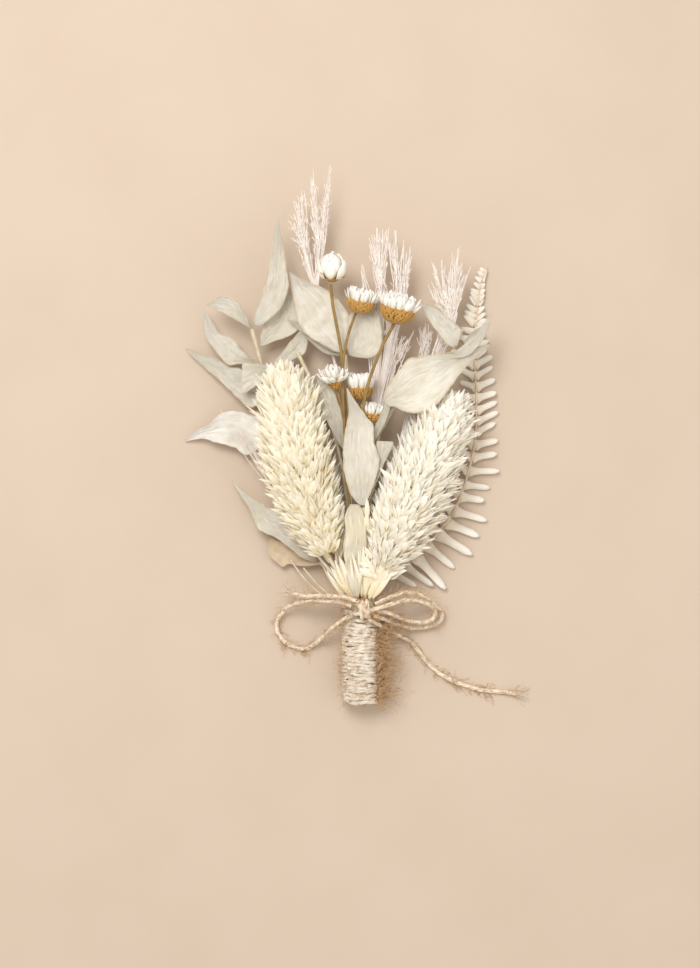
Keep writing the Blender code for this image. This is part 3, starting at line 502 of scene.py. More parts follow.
LEAVES = [
    Leaf("ruscus_a_leaf_1",
         ((-28.3, 100.9), (-27, 105), (-25.2, 110), (-24, 115), (-23, 120), (-22.4, 125), (-21.5, 129.2)),
         ((-27.6, 100.2), (-25, 100.8), (-20.7, 105), (-19, 110), (-19.4, 115), (-20.2, 120), (-21, 125),
          (-21.4, 129.2)), (8.6, 10, 10.8, 11.2, 11, 10)),
    Leaf("ruscus_a_leaf_2",
         ((-29.3, 100.5), (-30.5, 103.5), (-32, 106), (-34.5, 107.5), (-36.5, 107.8), (-38.7, 106.6),
          (-40.4, 105.8)),
         ((-29.2, 99.5), (-31, 100.5), (-35, 102.6), (-37.5, 104), (-40.4, 105.5)),
         (8.4, 9.6, 10.2, 9.6, 9)),
    Leaf("ruscus_a_leaf_3",
         ((-28.4, 90.4), (-32, 90.1), (-35, 90), (-37, 91.8), (-39.5, 95), (-41, 98), (-41.7, 101), (-41.3, 104.5)),
         ((-27.8, 91.2), (-29.5, 92), (-31.5, 94), (-33.5, 96.5), (-37.5, 98.5), (-39, 101), (-41.2, 104.5)),
         (4.9, 4.9, 5.2, 5, 4)),
    Leaf("ruscus_a_leaf_4",
         ((-25.6, 83), (-27.5, 86), (-31, 88.6), (-35, 89.9), (-38, 91.6), (-41, 92.6), (-46.3, 94.4)),
         ((-25.4, 81.8), (-27, 79.6), (-29.5, 78.4), (-32.5, 81), (-36, 84.5), (-40, 88), (-44.5, 92),
          (-46.3, 94.2)), (3, 3, 2.8, 2, 0.6)),
    Leaf("ruscus_a_leaf_5",
         ((-31.2, 90.6), (-27, 90.2), (-23, 89.8), (-19, 89.3), (-15.8, 88.9)),
         ((-31.3, 81.8), (-28, 83.8), (-25, 85.5), (-20, 87.7), (-15.8, 88.6)), (6.6, 6.3, 7, 8), 0.5, 0.8),
    Leaf("ruscus_a_leaf_6",
         ((-26.4, 95.2), (-26.3, 98), (-25, 101), (-22.5, 105), (-19.8, 108), (-17.8, 109.6)),
         ((-26, 94.7), (-22, 96.3), (-18.5, 97.5), (-16, 100), (-16, 104), (-17, 108), (-17.7, 109.6)),
         (6.2, 6.3, 6.6, 7)),
    Leaf("ruscus_b_leaf_1",
         ((-23.5, 89.9), (-22, 91.6), (-20, 94), (-18, 96.5), (-15.4, 99.4)),
         ((-23.3, 89.5), (-20, 90.2), (-16.5, 91.8), (-14.6, 93), (-13.8, 96.5), (-15.2, 99.5)),
         (5.8, 6.6, 7, 6.8)),
    Leaf("ruscus_b_leaf_2",
         ((-13.6, 85.6), (-12.5, 82), (-11, 79), (-8.5, 74.5), (-6.5, 70.5), (-4.6, 67.6)),
         ((-12.4, 86.4), (-9.3, 85.5), (-7.2, 83.5), (-5.6, 79.5), (-4.4, 75), (-4, 70), (-4.4, 67.6)),
         (8.8, 10, 10.4, 9.6)),
    Leaf("ruscus_c_leaf_1",
         ((-4.6, 92.7), (-7.5, 93.6), (-10, 95), (-13.5, 97), (-16, 100), (-16.8, 103.5), (-17.8, 108),
          (-18.9, 114.4)),
         ((-4, 93), (-2.2, 97), (-2, 101), (-4.5, 105.5), (-8, 109), (-12, 111), (-15.5, 112.4), (-18.8, 114.5)),
         (9.4, 9.2, 9.3, 8.4), 0.9),
    Leaf("ruscus_c_leaf_2",
         ((-3, 92.3), (-3.6, 95), (-3.5, 99), (-2.8, 102.5), (-1.2, 104.6), (1.5, 106)),
         ((-2.4, 92), (2, 91.3), (4.8, 92.8), (5.9, 96), (5.6, 100), (4.5, 103.8), (1.7, 106)),
         (10.4, 10.9, 11.3, 10.4)),
    Leaf("ruscus_c_leaf_3",
         ((-5.2, 92.7), (-9, 95.4), (-13, 98.6), (-16, 101), (-19.2, 101.8)),
         ((-5.4, 92.1), (-9.5, 92.9), (-13, 95.8), (-16, 98.8), (-19.2, 101.4)), (8.1, 7.6, 7.6, 8)),
    Leaf("ruscus_d_leaf_1",
         ((6.1, 79.4), (6.2, 81.6), (8.3, 85.6), (10.8, 88.8), (12.6, 91), (15, 91.6), (18, 92), (24, 92.3),
          (27.6, 92.6), (30.5, 94.2), (34.3, 95.1)),
         ((6.3, 79.2), (7.4, 78.6), (9, 78.4), (12, 77), (15, 76.8), (18, 77.5), (21, 80), (24, 84), (26.5, 87.5),
          (29.5, 90.5), (34.3, 94.8)), (14.2, 15, 15.6, 15.8, 15.4, 14.6, 13.6, 12.4), 1.5, 0.5, 1.1),
    Leaf("ruscus_d_leaf_1_flap",
         ((19, 91.9), (23, 92.6), (26, 93.7), (28, 95.7), (31, 98.3), (34.4, 103)),
         ((19.2, 90.4), (24, 91), (28.2, 92), (31.4, 95), (33.6, 99), (34.5, 102.9)),
         (14.8, 14.4, 13.8, 12.6), 0.7, 0.3, 0.9, IVORY_LEAF, False),
    Leaf("ruscus_d_leaf_1_fold",
         ((2.6, 69.2), (3.6, 72.6), (4.9, 76), (6.5, 79.6)), ((3.6, 69), (5.4, 72), (7, 75.4), (8.1, 79.2)),
         (12.6, 13.4, 14, 14.6), 0.9, 0.5, 0.5, IVORY_LEAF, False),
    Leaf("ruscus_d_leaf_2",
         ((25.4, 94.7), (26.5, 98.4), (25, 100.2), (22, 102.7), (19.5, 104.5), (15.5, 106.4)),
         ((24.6, 94.1), (22.6, 95.2), (20.3, 98.2), (18, 101.4), (15.5, 106.2)), (12.7, 13, 12.6, 11.4)),
    Leaf("ruscus_d_leaf_3",
         ((27.1, 95.6), (29.8, 98.6), (34.2, 100.8)), ((27.5, 95), (30.5, 95.9), (34.2, 100.4)),
         (11.5, 11.2, 10.2)),
    Leaf("curled_leaf_blade",
         ((-25.6, 69.3), (-27, 75.4), (-30, 77), (-34, 77.7), (-37.8, 76.6), (-40, 74.2), (-43, 72.8),
          (-46.6, 69.9)),
         ((-25.9, 68.4), (-30, 66), (-33, 67.8), (-37, 69), (-39, 69.5), (-41, 70.3), (-43.5, 70.2),
          (-46.6, 69.6)), (3.9, 4.2, 3.8, 2.8, 0.8), 1.5, 0.0, 1.1, SILVER_LEAF),
    Leaf("low_leaf_blade",
         ((-11, 39.2), (-14, 43), (-17, 46.5), (-19, 48.7), (-22, 50.5), (-26, 53), (-30, 55.5), (-34, 59.1)),
         ((-11.8, 37.8), (-15, 38.6), (-19.5, 42), (-22, 43.8), (-25, 45.3), (-27.4, 46.6), (-29, 51), (-31, 54),
          (-34, 58.9)), (5, 5.6, 5.2, 3.8, 2.6)),
    # Its darker tan finish is painted shade under the low leaf.
    Leaf("low_leaf_under_blade",
         ((-10.9, 37.6), (-15, 40.5), (-19.5, 42.3), (-23.8, 44)),
         ((-10.7, 36.8), (-15, 36.4), (-18.8, 37), (-20.8, 36.4), (-24.2, 39.5), (-24.3, 43.4)),
         (3.7, 2.8, 2.3, 2), 0.6, 0, 0.9, SHADED_TAN_BLADE),
    Leaf("centre_leaf_back_blade",
         ((1.6, 53.6), (3, 60), (4, 66), (4.4, 69.6)),
         ((2.2, 53.2), (4.9, 60), (6.8, 64.7), (8.6, 68.4), (8.5, 69.4)), (12.6, 13.6, 14.6, 15.2), 0.6, 0.3, 0.8),
    Leaf("centre_leaf_blade",
         ((0.8, 52.6), (-1, 53.6), (-2.9, 56.7), (-4.2, 62), (-4.5, 67.3), (-3.7, 72.6), (-2.9, 76.9), (-3.1, 80.5),
          (-3.5, 83.4)),
         ((1.3, 52.7), (3.2, 57.2), (4.8, 62), (5.1, 65), (3.7, 68.6), (3.6, 71.5), (3.3, 73.9), (1.9, 75.6),
          (-1, 79.5), (-3.4, 83.4)), (13.4, 14.8, 15.6, 15.8, 15.4, 14.6), 1.2, -0.4, 0.8),
    Leaf("sheath_leaf",
         ((-1.6, 28.4), (-2.9, 32), (-3.9, 36), (-4.3, 41), (-3.8, 46), (-4, 50), (-2.6, 53)),
         ((-0.4, 28.4), (0.4, 32), (1.2, 37), (1.6, 42), (1.5, 46), (1.2, 50), (-0.2, 53)),
         (11.2, 12.2, 13.2, 13.2), 0.4, 0, 1.2, CREAM_LEAF),
]


@dataclass(frozen=True)
class Papers:
    """Narrow papery strips or scraps that lie between the stems and at the heads' feet.

    Args:
        name: the piece's name.
        low: the lower corner of the field of their feet.
        high: its upper corner.
        count: how many.
        turn: the range of their headings, in degrees from Y towards X.
        size: the range of their lengths.
        breadth: how much wider they are than the template.
        lift: height of the field over the stems.
        finish: their surface.
    """

    name: str
    low: tuple
    high: tuple
    count: int
    turn: tuple
    size: tuple
    breadth: float
    lift: float
    finish: Finish

    def build(self) -> bpy.types.Object:
        """Stamps blades over the field."""
        rng = random.Random(self.name)
        template = BladeTemplate(0.2, (6, 2), 0.35, 0.2, 0.08, 0.06, 0.016).build()
        work = bmesh.new()
        low, high = self.low, self.high
        for _ in range(self.count):
            across, along = rng.random(), rng.random()
            foot = Vector((low[0] + (high[0] - low[0]) * across, low[1] + (high[1] - low[1]) * along, 0))
            foot.z = self.lift + 0.25 * (foot.y - 28) - 0.25 * abs(foot.x - 0.5) + rng.uniform(-0.7, 0.7)
            angle = math.radians(self.turn[0] + (self.turn[1] - self.turn[0]) * (0.7 * across + 0.3 * rng.random()))
            forward = Vector((math.sin(angle), math.cos(angle), rng.uniform(0.05, 0.35)))
            up = Vector((rng.gauss(0, 0.5), rng.gauss(0, 0.2), 1))
            length = rng.uniform(*self.size)
            stamp(work, template, facing(foot, forward, up, (length, length * self.breadth, length)))
        return show(mesh_object(self.name, work, False), self.finish, [])


PAPERS = [
    Papers("stem_sheaths_left", (-4.2, 28), (-1.6, 31.5), 34, (-44, 2), (5, 11), 0.7, 9.6, CREAM_BRACT),
    Papers("stem_sheaths_right", (0.2, 28), (3.8, 32.5), 56, (-14, 44), (5, 11), 0.7, 9.4, CREAM_BRACT),
    Papers("paper_scraps_right", (2.6, 33), (8, 39.5), 60, (-90, 90), (2.4, 4.8), 1.7, 10.6, WHITE_BRACT),
    Papers("paper_scraps_middle", (1.4, 38), (3.6, 50), 40, (-24, 40), (3, 6), 1.1, 8.0, CREAM_BRACT),
    Papers("paper_scraps_left", (-8.0, 36), (-4.6, 49), 34, (-44, 24), (3, 6), 1.1, 7.8, CREAM_BRACT),
]


class WispyStems:
    """Thin straw stems that run from the lower left leaves to the knot."""

    routes = (((-18.8, 38.5, 3.2), (-14, 32.4, 6), (-8.5, 28, 8.6), (-2.5, 26, 9.6)),
              ((-15, 36, 4.4), (-10.5, 31, 7), (-6, 28, 9), (-2, 26.5, 9.8)),
              ((-10.2, 37.5, 6.2), (-8, 33, 7.6), (-5, 29, 9.2), (-2, 26.8, 9.8)),
              ((-9.5, 37.8, 7), (-6.6, 31.6, 8.4), (-3.8, 28.2, 9.4), (-1.6, 26.6, 9.8)))
    thick, thin = 0.2, 0.26

    def build(self) -> bpy.types.Object:
        """All of them as one piece."""
        made = [(smooth_path(route, 24), self.thick, self.thin) for route in self.routes]
        return show(rods("wispy_stems", made, 1), STRAW, [])


# ---------------------------------------------------------------- canary grass


@dataclass(frozen=True)
class CanaryHead:
    """A seed head: rings of keeled, pointed bracts round a plug.

    Args:
        node: the CAD node it stands for.
        base: the foot of its axis.
        tip: the top of its axis.
        bow: how far the axis bends, in X, at its middle.
        radius: how far the plug and the bracts' feet reach.
        peak: where the head is widest, as a share of its length.
        bracts: how many bracts.
        finish: its surface.
    """

    node: str
    base: tuple
    tip: tuple
    bow: float
    radius: float
    peak: float
    finish: Finish
    bracts: int = 2600
    seed: int = 3

    def _axis(self, share: float) -> tuple[Vector, Vector]:
        """The point on the axis and its direction."""
        base, tip = Vector(self.base), Vector(self.tip)
        sideways = Vector((self.bow, 0, 0))
        way = (tip - base) + sideways * math.pi * math.cos(math.pi * share)
        return base.lerp(tip, share) + sideways * math.sin(math.pi * share), way.normalized()

    def _girth(self, share: float) -> float:
        """The plug's radius."""
        power = math.log(0.5) / math.log(self.peak)
        return self.radius * max(math.sin(math.pi * min(share + 0.02, 1.0) ** power), 0.0) ** 0.55

    def build(self) -> bpy.types.Object:
        """Stamps bracts along a spiral, longer and more spread low down."""
        rng = random.Random(self.seed)
        broad = BladeTemplate(0.42, (4, 2), 0.4, 0.16, -0.06, 0.04, 0.014).build()
        fine = BladeTemplate(0.24, (3, 2), 0.36, 0.18, 0.04, 0.04, 0.014).build()
        work = bmesh.new()
        bmesh.ops.create_uvsphere(work, u_segments=20, v_segments=24, radius=1.0)
        for vert in work.verts:
            share = (vert.co.z + 1) / 2
            around = math.atan2(vert.co.y, vert.co.x)
            centre, way = self._axis(share * 0.96 + 0.01)
            side = way.cross(Vector((0, 0, 1))).normalized()
            up = side.cross(way)
            reach = self._girth(share) * 0.86 if 0.001 < share < 0.999 else 0.0
            vert.co = centre + (side * math.cos(around) + up * math.sin(around)) * reach
        bmesh.ops.recalc_face_normals(work, faces=work.faces)
        for i in range(self.bracts):
            share = ((i + 0.5) / self.bracts) ** 0.92
            narrow = i % 5 < 2
            centre, way = self._axis(share)
            side = way.cross(Vector((0, 0, 1))).normalized()
            up = side.cross(way)
            angle = i * GOLDEN_ANGLE + rng.uniform(-0.3, 0.3)
            out = side * math.cos(angle) + up * math.sin(angle)
            lean = math.radians(47 - 27 * share + rng.gauss(0, 11))
            across = way.cross(out)
            forward = way * math.cos(lean) + out * math.sin(lean) + across * rng.gauss(0, 0.24)
            size = (4.2 + 2.3 * share + (1.6 if share > 0.8 else 0)) * rng.uniform(0.7, 1.18)
            foot = centre + out * self._girth(share) * (0.84 if narrow else 0.76)
            spin = out + across * rng.gauss(0, 0.4)
            breadth = size * rng.uniform(0.75, 1.15)
            stamp(work, fine if narrow else broad, facing(foot, forward, spin, (size, breadth, size)))
        return show(mesh_object(f"{self.node}_look", work, False), self.finish, [self.node])


# The yellower feet of their bracts are painted shade in the gaps between the bracts.
HEADS = [
    CanaryHead("canary_left_head", (-8.6, 40.0, 11.4), (-19.6, 82.6, 12.4), -1.5, 8.4, 0.5, CREAM_BRACT),
    CanaryHead("canary_right_head", (6, 36.4, 10.8), (22.7, 75.4, 12), -0.2, 8.0, 0.46, WHITE_BRACT, 2500, 5),
]


# ---------------------------------------------------------------- fern


class Fern:
    """A pressed frond: a thin curved stalk with a row of narrow pinnae down each side."""

    route = [(1.6, 27.5, 2.2), (4.6, 30.4, 2), (8.5, 34, 1.6), (12, 36.6, 1.5), (14.5, 38.6, 1.5), (17, 41, 1.5),
             (20.5, 45, 1.5), (23.5, 48.7, 1.5), (25.5, 52, 1.5), (27.5, 57, 1.5), (29, 62, 1.5), (30, 66, 1.5),
             (30.7, 70, 1.5), (31, 76, 1.5), (31, 82, 1.5), (30.7, 88, 1.5), (30.4, 92, 1.5), (30.6, 98, 1.5),
             (31.2, 105, 1.5), (32.2, 111, 1.5), (33.6, 116.4, 1.5)]
    # Root and tip of each right-hand pinna below the crown.
    pinnae = (((9, 34), (15, 31)), ((12.5, 36), (19.5, 31)), ((15.5, 38.5), (22.9, 30.4)),
              ((18, 41.6), (25.2, 35.8)), ((20.8, 45), (29.9, 39.4)), ((23, 48), (31.8, 44.4)),
              ((25, 51.2), (33.9, 48.6)), ((26.6, 54.8), (33.1, 53.9)), ((28, 58), (34.7, 57.2)),
              ((29, 61.7), (37.1, 61.8)), ((29.9, 65.2), (36.5, 66.4)), ((30.6, 68.6), (36.8, 70)),
              ((30.9, 72), (36.1, 74.7)), ((31, 75), (36.9, 77.5)), ((31, 78), (36.5, 80.2)),
              ((31, 81), (36.3, 82.7)), ((30.9, 84), (36, 86.2)), ((30.7, 87), (35.4, 89.6)),
              ((30.5, 90), (35.3, 92.5)))
    # Where the crown's pinnae start and end along the stalk, as Y.
    crown = (92.6, 115.8)
    strap = (1.0, 0.8, 0.62, 0.54, 0.5, 0.5, 0.5, 0.48, 0.4, 0.16)

    def build(self) -> bpy.types.Object:
        """Stamps the pinnae and adds the stalk."""
        rng = random.Random(11)
        template = BladeTemplate(0.36, (9, 2), keel=-0.1, curl=-0.03, thickness=0.03, profile=self.strap).build()
        petite = BladeTemplate(0.5, (6, 2), keel=-0.2, curl=-0.1, thickness=0.05,
                               profile=(1, 0.95, 0.85, 0.72, 0.55, 0.25)).build()
        stalk = smooth_path(self.route, 240)
        work = bmesh.new()
        for root, tip in self.pinnae:
            here = min(stalk, key=lambda p: (p.x - root[0]) ** 2 + (p.y - root[1]) ** 2)
            ahead = stalk[min(stalk.index(here) + 1, 239)] - here
            forward = Vector((*tip, here.z + rng.uniform(-0.6, 0.7))) - here
            self._pinna(work, template, here, forward, rng)
            out = ahead.normalized()
            mirrored = 2 * forward.dot(out) * out - forward
            self._pinna(work, template, here, mirrored * 0.85 + ahead * 0.3, rng)
        low, high = self.crown
        at = low
        while at < high:
            share = (at - low) / (high - low)
            here = min(stalk, key=lambda p: abs(p.y - at))
            for side, reach in ((1, 4.2 - 3.3 * share), (-1, 5.2 - 3.6 * share)):
                slope = math.radians(24 + 22 * share + rng.gauss(0, 7))
                forward = Vector((side * math.cos(slope), math.sin(slope), rng.uniform(-0.05, 0.15)))
                up = Vector((rng.gauss(0, 0.25), rng.gauss(0, 0.25), 1))
                size = reach * rng.uniform(0.9, 1.08)
                stamp(work, petite, facing(here, forward, up, (size, 5.2 - 2.4 * share, size)))
            at += 2.15 - 0.9 * share
        show(mesh_object("fern_pinnae", work), FERN_SKIN, ["fern_frond"])
        stem = rods("fern_stalk", [(stalk, 0.5, 0.16)], 2)
        return show(stem, FERN_STALK, [])

    @staticmethod
    def _pinna(work: bmesh.types.BMesh, template: bpy.types.Mesh, root: Vector, forward: Vector,
               rng: random.Random) -> None:
        """One strap-shaped pinna."""
        up = Vector((rng.gauss(0, 0.22), rng.gauss(0, 0.22), 1))
        size = forward.length
        stamp(work, template, facing(root, forward, up, (size, (6.0 + 0.5 * size) * rng.uniform(0.9, 1.1), size)))


# ---------------------------------------------------------------- daisies


@dataclass(frozen=True)
class Daisy:
    """A papery daisy seen from the side: a bowl of overlapping brown scales, and pale pointed bracts above.

    Args:
        name: the CAD pieces' shared name.
        foot: the foot of its bowl.
        way: the way it faces.
        cup: the bowl's radius and depth.
        height: how far the bracts stand above the bowl's rim, or the height of a closed bud.
        open_angle: how far its outermost bracts lean out, in degrees.
        bud: the closed bud's radius, or 0 for an open flower.
    """

    name: str
    foot: tuple
    way: tuple
    cup: tuple
    height: float
    open_angle: float = 42
    bud: float = 0.0

    def build(self) -> None:
        """The bowl, then the bracts."""
        rng = random.Random(self.name)
        foot, way = Vector(self.foot), Vector(self.way).normalized()
        side = way.cross(Vector((0, 0, 1))).normalized()
        axes = (side, side.cross(way), way)
        radius, depth = self.cup
        scale = BladeTemplate(0.75, (4, 2), 0.5, 0.2, -0.1, 0.15, 0.06).build()
        work = bmesh.new()
        self._plug(work, foot, axes, radius * 0.9, 2 * depth * 0.95)
        self._shingle(work, scale, foot, axes, (radius, 2 * depth), (14, 96), 1.1, rng)
        if self.bud:
            self._sepals(work, foot, axes, rng)
        show(mesh_object(f"{self.name}_cup_look", work), BROWN_SCALE, [f"{self.name}_cup"])
        work = bmesh.new()
        if self.bud:
            self._closed(work, foot, axes, rng)
        else:
            self._crown(work, foot, axes, rng)
        show(mesh_object(f"{self.name}_bracts_look", work), PAPER_PETAL, [f"{self.name}_bracts"])

    def _crown(self, work: bmesh.types.BMesh, foot: Vector, axes: tuple, rng: random.Random) -> None:
        """Rings of bracts that stand on the bowl's rim."""
        side, up, way = axes
        radius, depth = self.cup
        petal = BladeTemplate(0.44, (5, 2), 0.58, 0.16, -0.14, 0.2, 0.03).build()
        rim = foot + way * depth
        self._plug(work, rim - way * 0.6, axes, radius * 0.8, self.height * 0.75)
        for share in (1.0, 0.88, 0.68, 0.45, 0.22):
            count = max(4, round(2 * math.pi * radius * share / 1.05))
            for i in range(count):
                angle = 2 * math.pi * (i + share * 3) / count + rng.uniform(-0.15, 0.15)
                out = side * math.cos(angle) + up * math.sin(angle)
                lean = math.radians(self.open_angle * share**1.5 + rng.gauss(0, 8))
                base = rim + out * radius * share * 0.84 - way * 0.25
                forward = way * math.cos(lean) + out * math.sin(lean)
                size = self.height * rng.uniform(0.85, 1.1)
                spin = out + way.cross(out) * rng.gauss(0, 0.25)
                stamp(work, petal, facing(base, forward, spin, (size, size * rng.uniform(0.85, 1.1), size)))

    def _closed(self, work: bmesh.types.BMesh, foot: Vector, axes: tuple, rng: random.Random) -> None:
        """A closed bud: three rings of broad bracts that wrap an egg."""
        side, up, way = axes
        size = 1.45 * self.bud
        petal = BladeTemplate(0.72, (8, 4), 0.5, 0.22, -0.66, 0.12, 0.03).build()
        self._plug(work, foot + way * 0.3, axes, self.bud * 0.86, self.height - 0.8)
        for theta, count, proud in ((95, 5, -0.15), (66, 6, 0.0), (36, 6, 0.14)):
            theta = math.radians(theta)
            for i in range(count):
                angle = 2 * math.pi * (i + theta) / count + rng.uniform(-0.1, 0.1)
                out = side * math.cos(angle) + up * math.sin(angle)
                place = foot + way * self.height / 2 * (1 - math.cos(theta)) + out * (self.bud + proud) * math.sin(theta)
                climb = out * math.cos(theta) + way * math.sin(theta)
                normal = out * math.sin(theta) - way * math.cos(theta)
                length = size * rng.uniform(0.92, 1.08)
                stamp(work, petal, facing(place, climb + normal * 0.06, normal, (length, length, length)))

    @staticmethod
    def _shingle(work: bmesh.types.BMesh, template: bpy.types.Mesh, foot: Vector, axes: tuple, size: tuple,
                 span: tuple, scale: float, rng: random.Random) -> None:
        """Covers an egg with rings of overlapping scales.

        Args:
            work: the mesh to add to.
            template: one scale.
            foot: the egg's lowest point.
            axes: two directions across it and the one up it.
            size: its radius and its height.
            span: the rings' range, in degrees from its foot.
            scale: a scale's length.
            rng: the source of the small differences.
        """
        side, up, way = axes
        radius, height = size
        rings = max(3, round(math.radians(span[1] - span[0]) * (radius + height / 2) / 2 / (0.55 * scale)))
        for ring in range(rings):
            theta = math.radians(span[0] + (span[1] - span[0]) * ring / (rings - 1))
            girth = radius * math.sin(theta)
            count = max(4, round(2 * math.pi * girth / (0.55 * scale)))
            for i in range(count):
                angle = 2 * math.pi * (i + 0.5 * (ring % 2)) / count + rng.uniform(-0.08, 0.08)
                out = side * math.cos(angle) + up * math.sin(angle)
                place = foot + way * height / 2 * (1 - math.cos(theta)) + out * girth
                climb = (out * math.cos(theta) * radius + way * math.sin(theta) * height / 2).normalized()
                normal = (out * math.sin(theta) / radius - way * math.cos(theta) * 2 / height).normalized()
                length = scale * rng.uniform(0.85, 1.12)
                stamp(work, template, facing(place - climb * length * 0.45, climb + normal * 0.14, normal,
                                             (length, length, length)))

    @staticmethod
    def _sepals(work: bmesh.types.BMesh, foot: Vector, axes: tuple, rng: random.Random) -> None:
        """Thin dry sepals that spread under a bud."""
        side, up, way = axes
        sepal = BladeTemplate(0.2, (5, 2), 0.35, 0.2, 0.16, 0.05, 0.03).build()
        for i in range(11):
            angle = 2 * math.pi * i / 11 + rng.uniform(-0.2, 0.2)
            out = side * math.cos(angle) + up * math.sin(angle)
            size = rng.uniform(3.2, 4.6)
            stamp(work, sepal, facing(foot + way * 0.5, out + way * rng.uniform(0.1, 0.4), way, (size, size, size)))

    @staticmethod
    def _plug(work: bmesh.types.BMesh, foot: Vector, axes: tuple, radius: float, height: float) -> None:
        """A closed egg that fills the middle."""
        side, up, way = axes
        made = bmesh.ops.create_uvsphere(work, u_segments=16, v_segments=8, radius=1.0)
        for vert in made["verts"]:
            vert.co = (foot + side * vert.co.x * radius + up * vert.co.y * radius
                       + way * (vert.co.z + 1) / 2 * height)


DAISIES = [
    Daisy("daisy_1", (-7.6, 111.4, 13), (0.06, 1, 0.1), (1.7, 0.9), 6.3, bud=3.05),
    Daisy("daisy_2", (-0.5, 103, 14.4), (0.22, 1, 0.15), (3.6, 2.8), 3.9, 24),
    Daisy("daisy_3", (8.9, 100.4, 14.8), (0.26, 1, 0.2), (4.5, 3.6), 4.2, 32),
    Daisy("daisy_4", (-6.3, 83.2, 12.4), (-0.1, 1, 0.3), (1.9, 2.2), 4.3, 56),
    Daisy("daisy_5", (0.1, 80.5, 11.2), (0.02, 1, 0.1), (3.1, 2.6), 4.4, 22),
    Daisy("daisy_6", (2.9, 74.4, 13), (0.1, 1, 0.2), (2.0, 2.2), 3.2, 26),
]


# ---------------------------------------------------------------- bristle tufts


@dataclass(frozen=True)
class Tuft:
    """Bristles that rise from a stem in tight clumps and fan out at their tops.

    Args:
        node: the CAD node it stands for.
        stem: the stem's points up to the bristles' foot.
        clumps: for each clump, the waist that its bristles pass through and the places where they end.
        each: bristles per end.
        spread: how far bristles stray from their end.
        side_hairs: short hairs along each bristle's upper part.
        radius: a bristle's radius.
    """

    node: str
    stem: tuple
    clumps: tuple
    each: int
    spread: float
    side_hairs: int = 6
    radius: float = 0.24

    def build(self) -> bpy.types.Object:
        """Stem, bristles and their side hairs as one piece."""
        rng = random.Random(self.node)
        stem = smooth_path(self.stem, 30)
        routes = [(stem, 0.5, 0.42)]
        foot = stem[-1]
        down = (stem[-4] - foot).normalized()
        for waist, tips in self.clumps:
            for tip in tips:
                for _ in range(self.each):
                    start = foot + down * rng.uniform(0, 5) + self._stray(rng, 0.2)
                    middle = Vector(waist) + self._stray(rng, 0.7)
                    end = middle.lerp(Vector(tip) + self._stray(rng, self.spread), rng.uniform(0.72, 1.0))
                    bent = middle.lerp(end, 0.5) + self._stray(rng, 0.25)
                    points = smooth_path([start, middle, bent, end], 14)
                    routes.append((points, self.radius, self.radius * 0.4))
                    routes.extend(self._hairs(rng, points))
        return show(rods(f"{self.node}_look", routes), BRISTLE, [self.node])

    def _hairs(self, rng: random.Random, points: Path) -> list[tuple[Path, float, float]]:
        """Short hairs along a bristle's upper part."""
        made = []
        for _ in range(self.side_hairs):
            number = rng.randrange(6, 13)
            root, along = points[number], (points[number + 1] - points[number]).normalized()
            reach = rng.uniform(0.8, 2.2)
            aim = (along * 2.1 + self._stray(rng, 0.7)).normalized()
            made.append(([root, root + aim * reach * 0.6, root + (aim + along * 0.25) * reach],
                         self.radius * 0.6, self.radius * 0.3))
        return made

    @staticmethod
    def _stray(rng: random.Random, size: float) -> Vector:
        """A random offset, flatter in Z."""
        return Vector((rng.gauss(0, size), rng.gauss(0, size), rng.gauss(0, size * 0.6)))


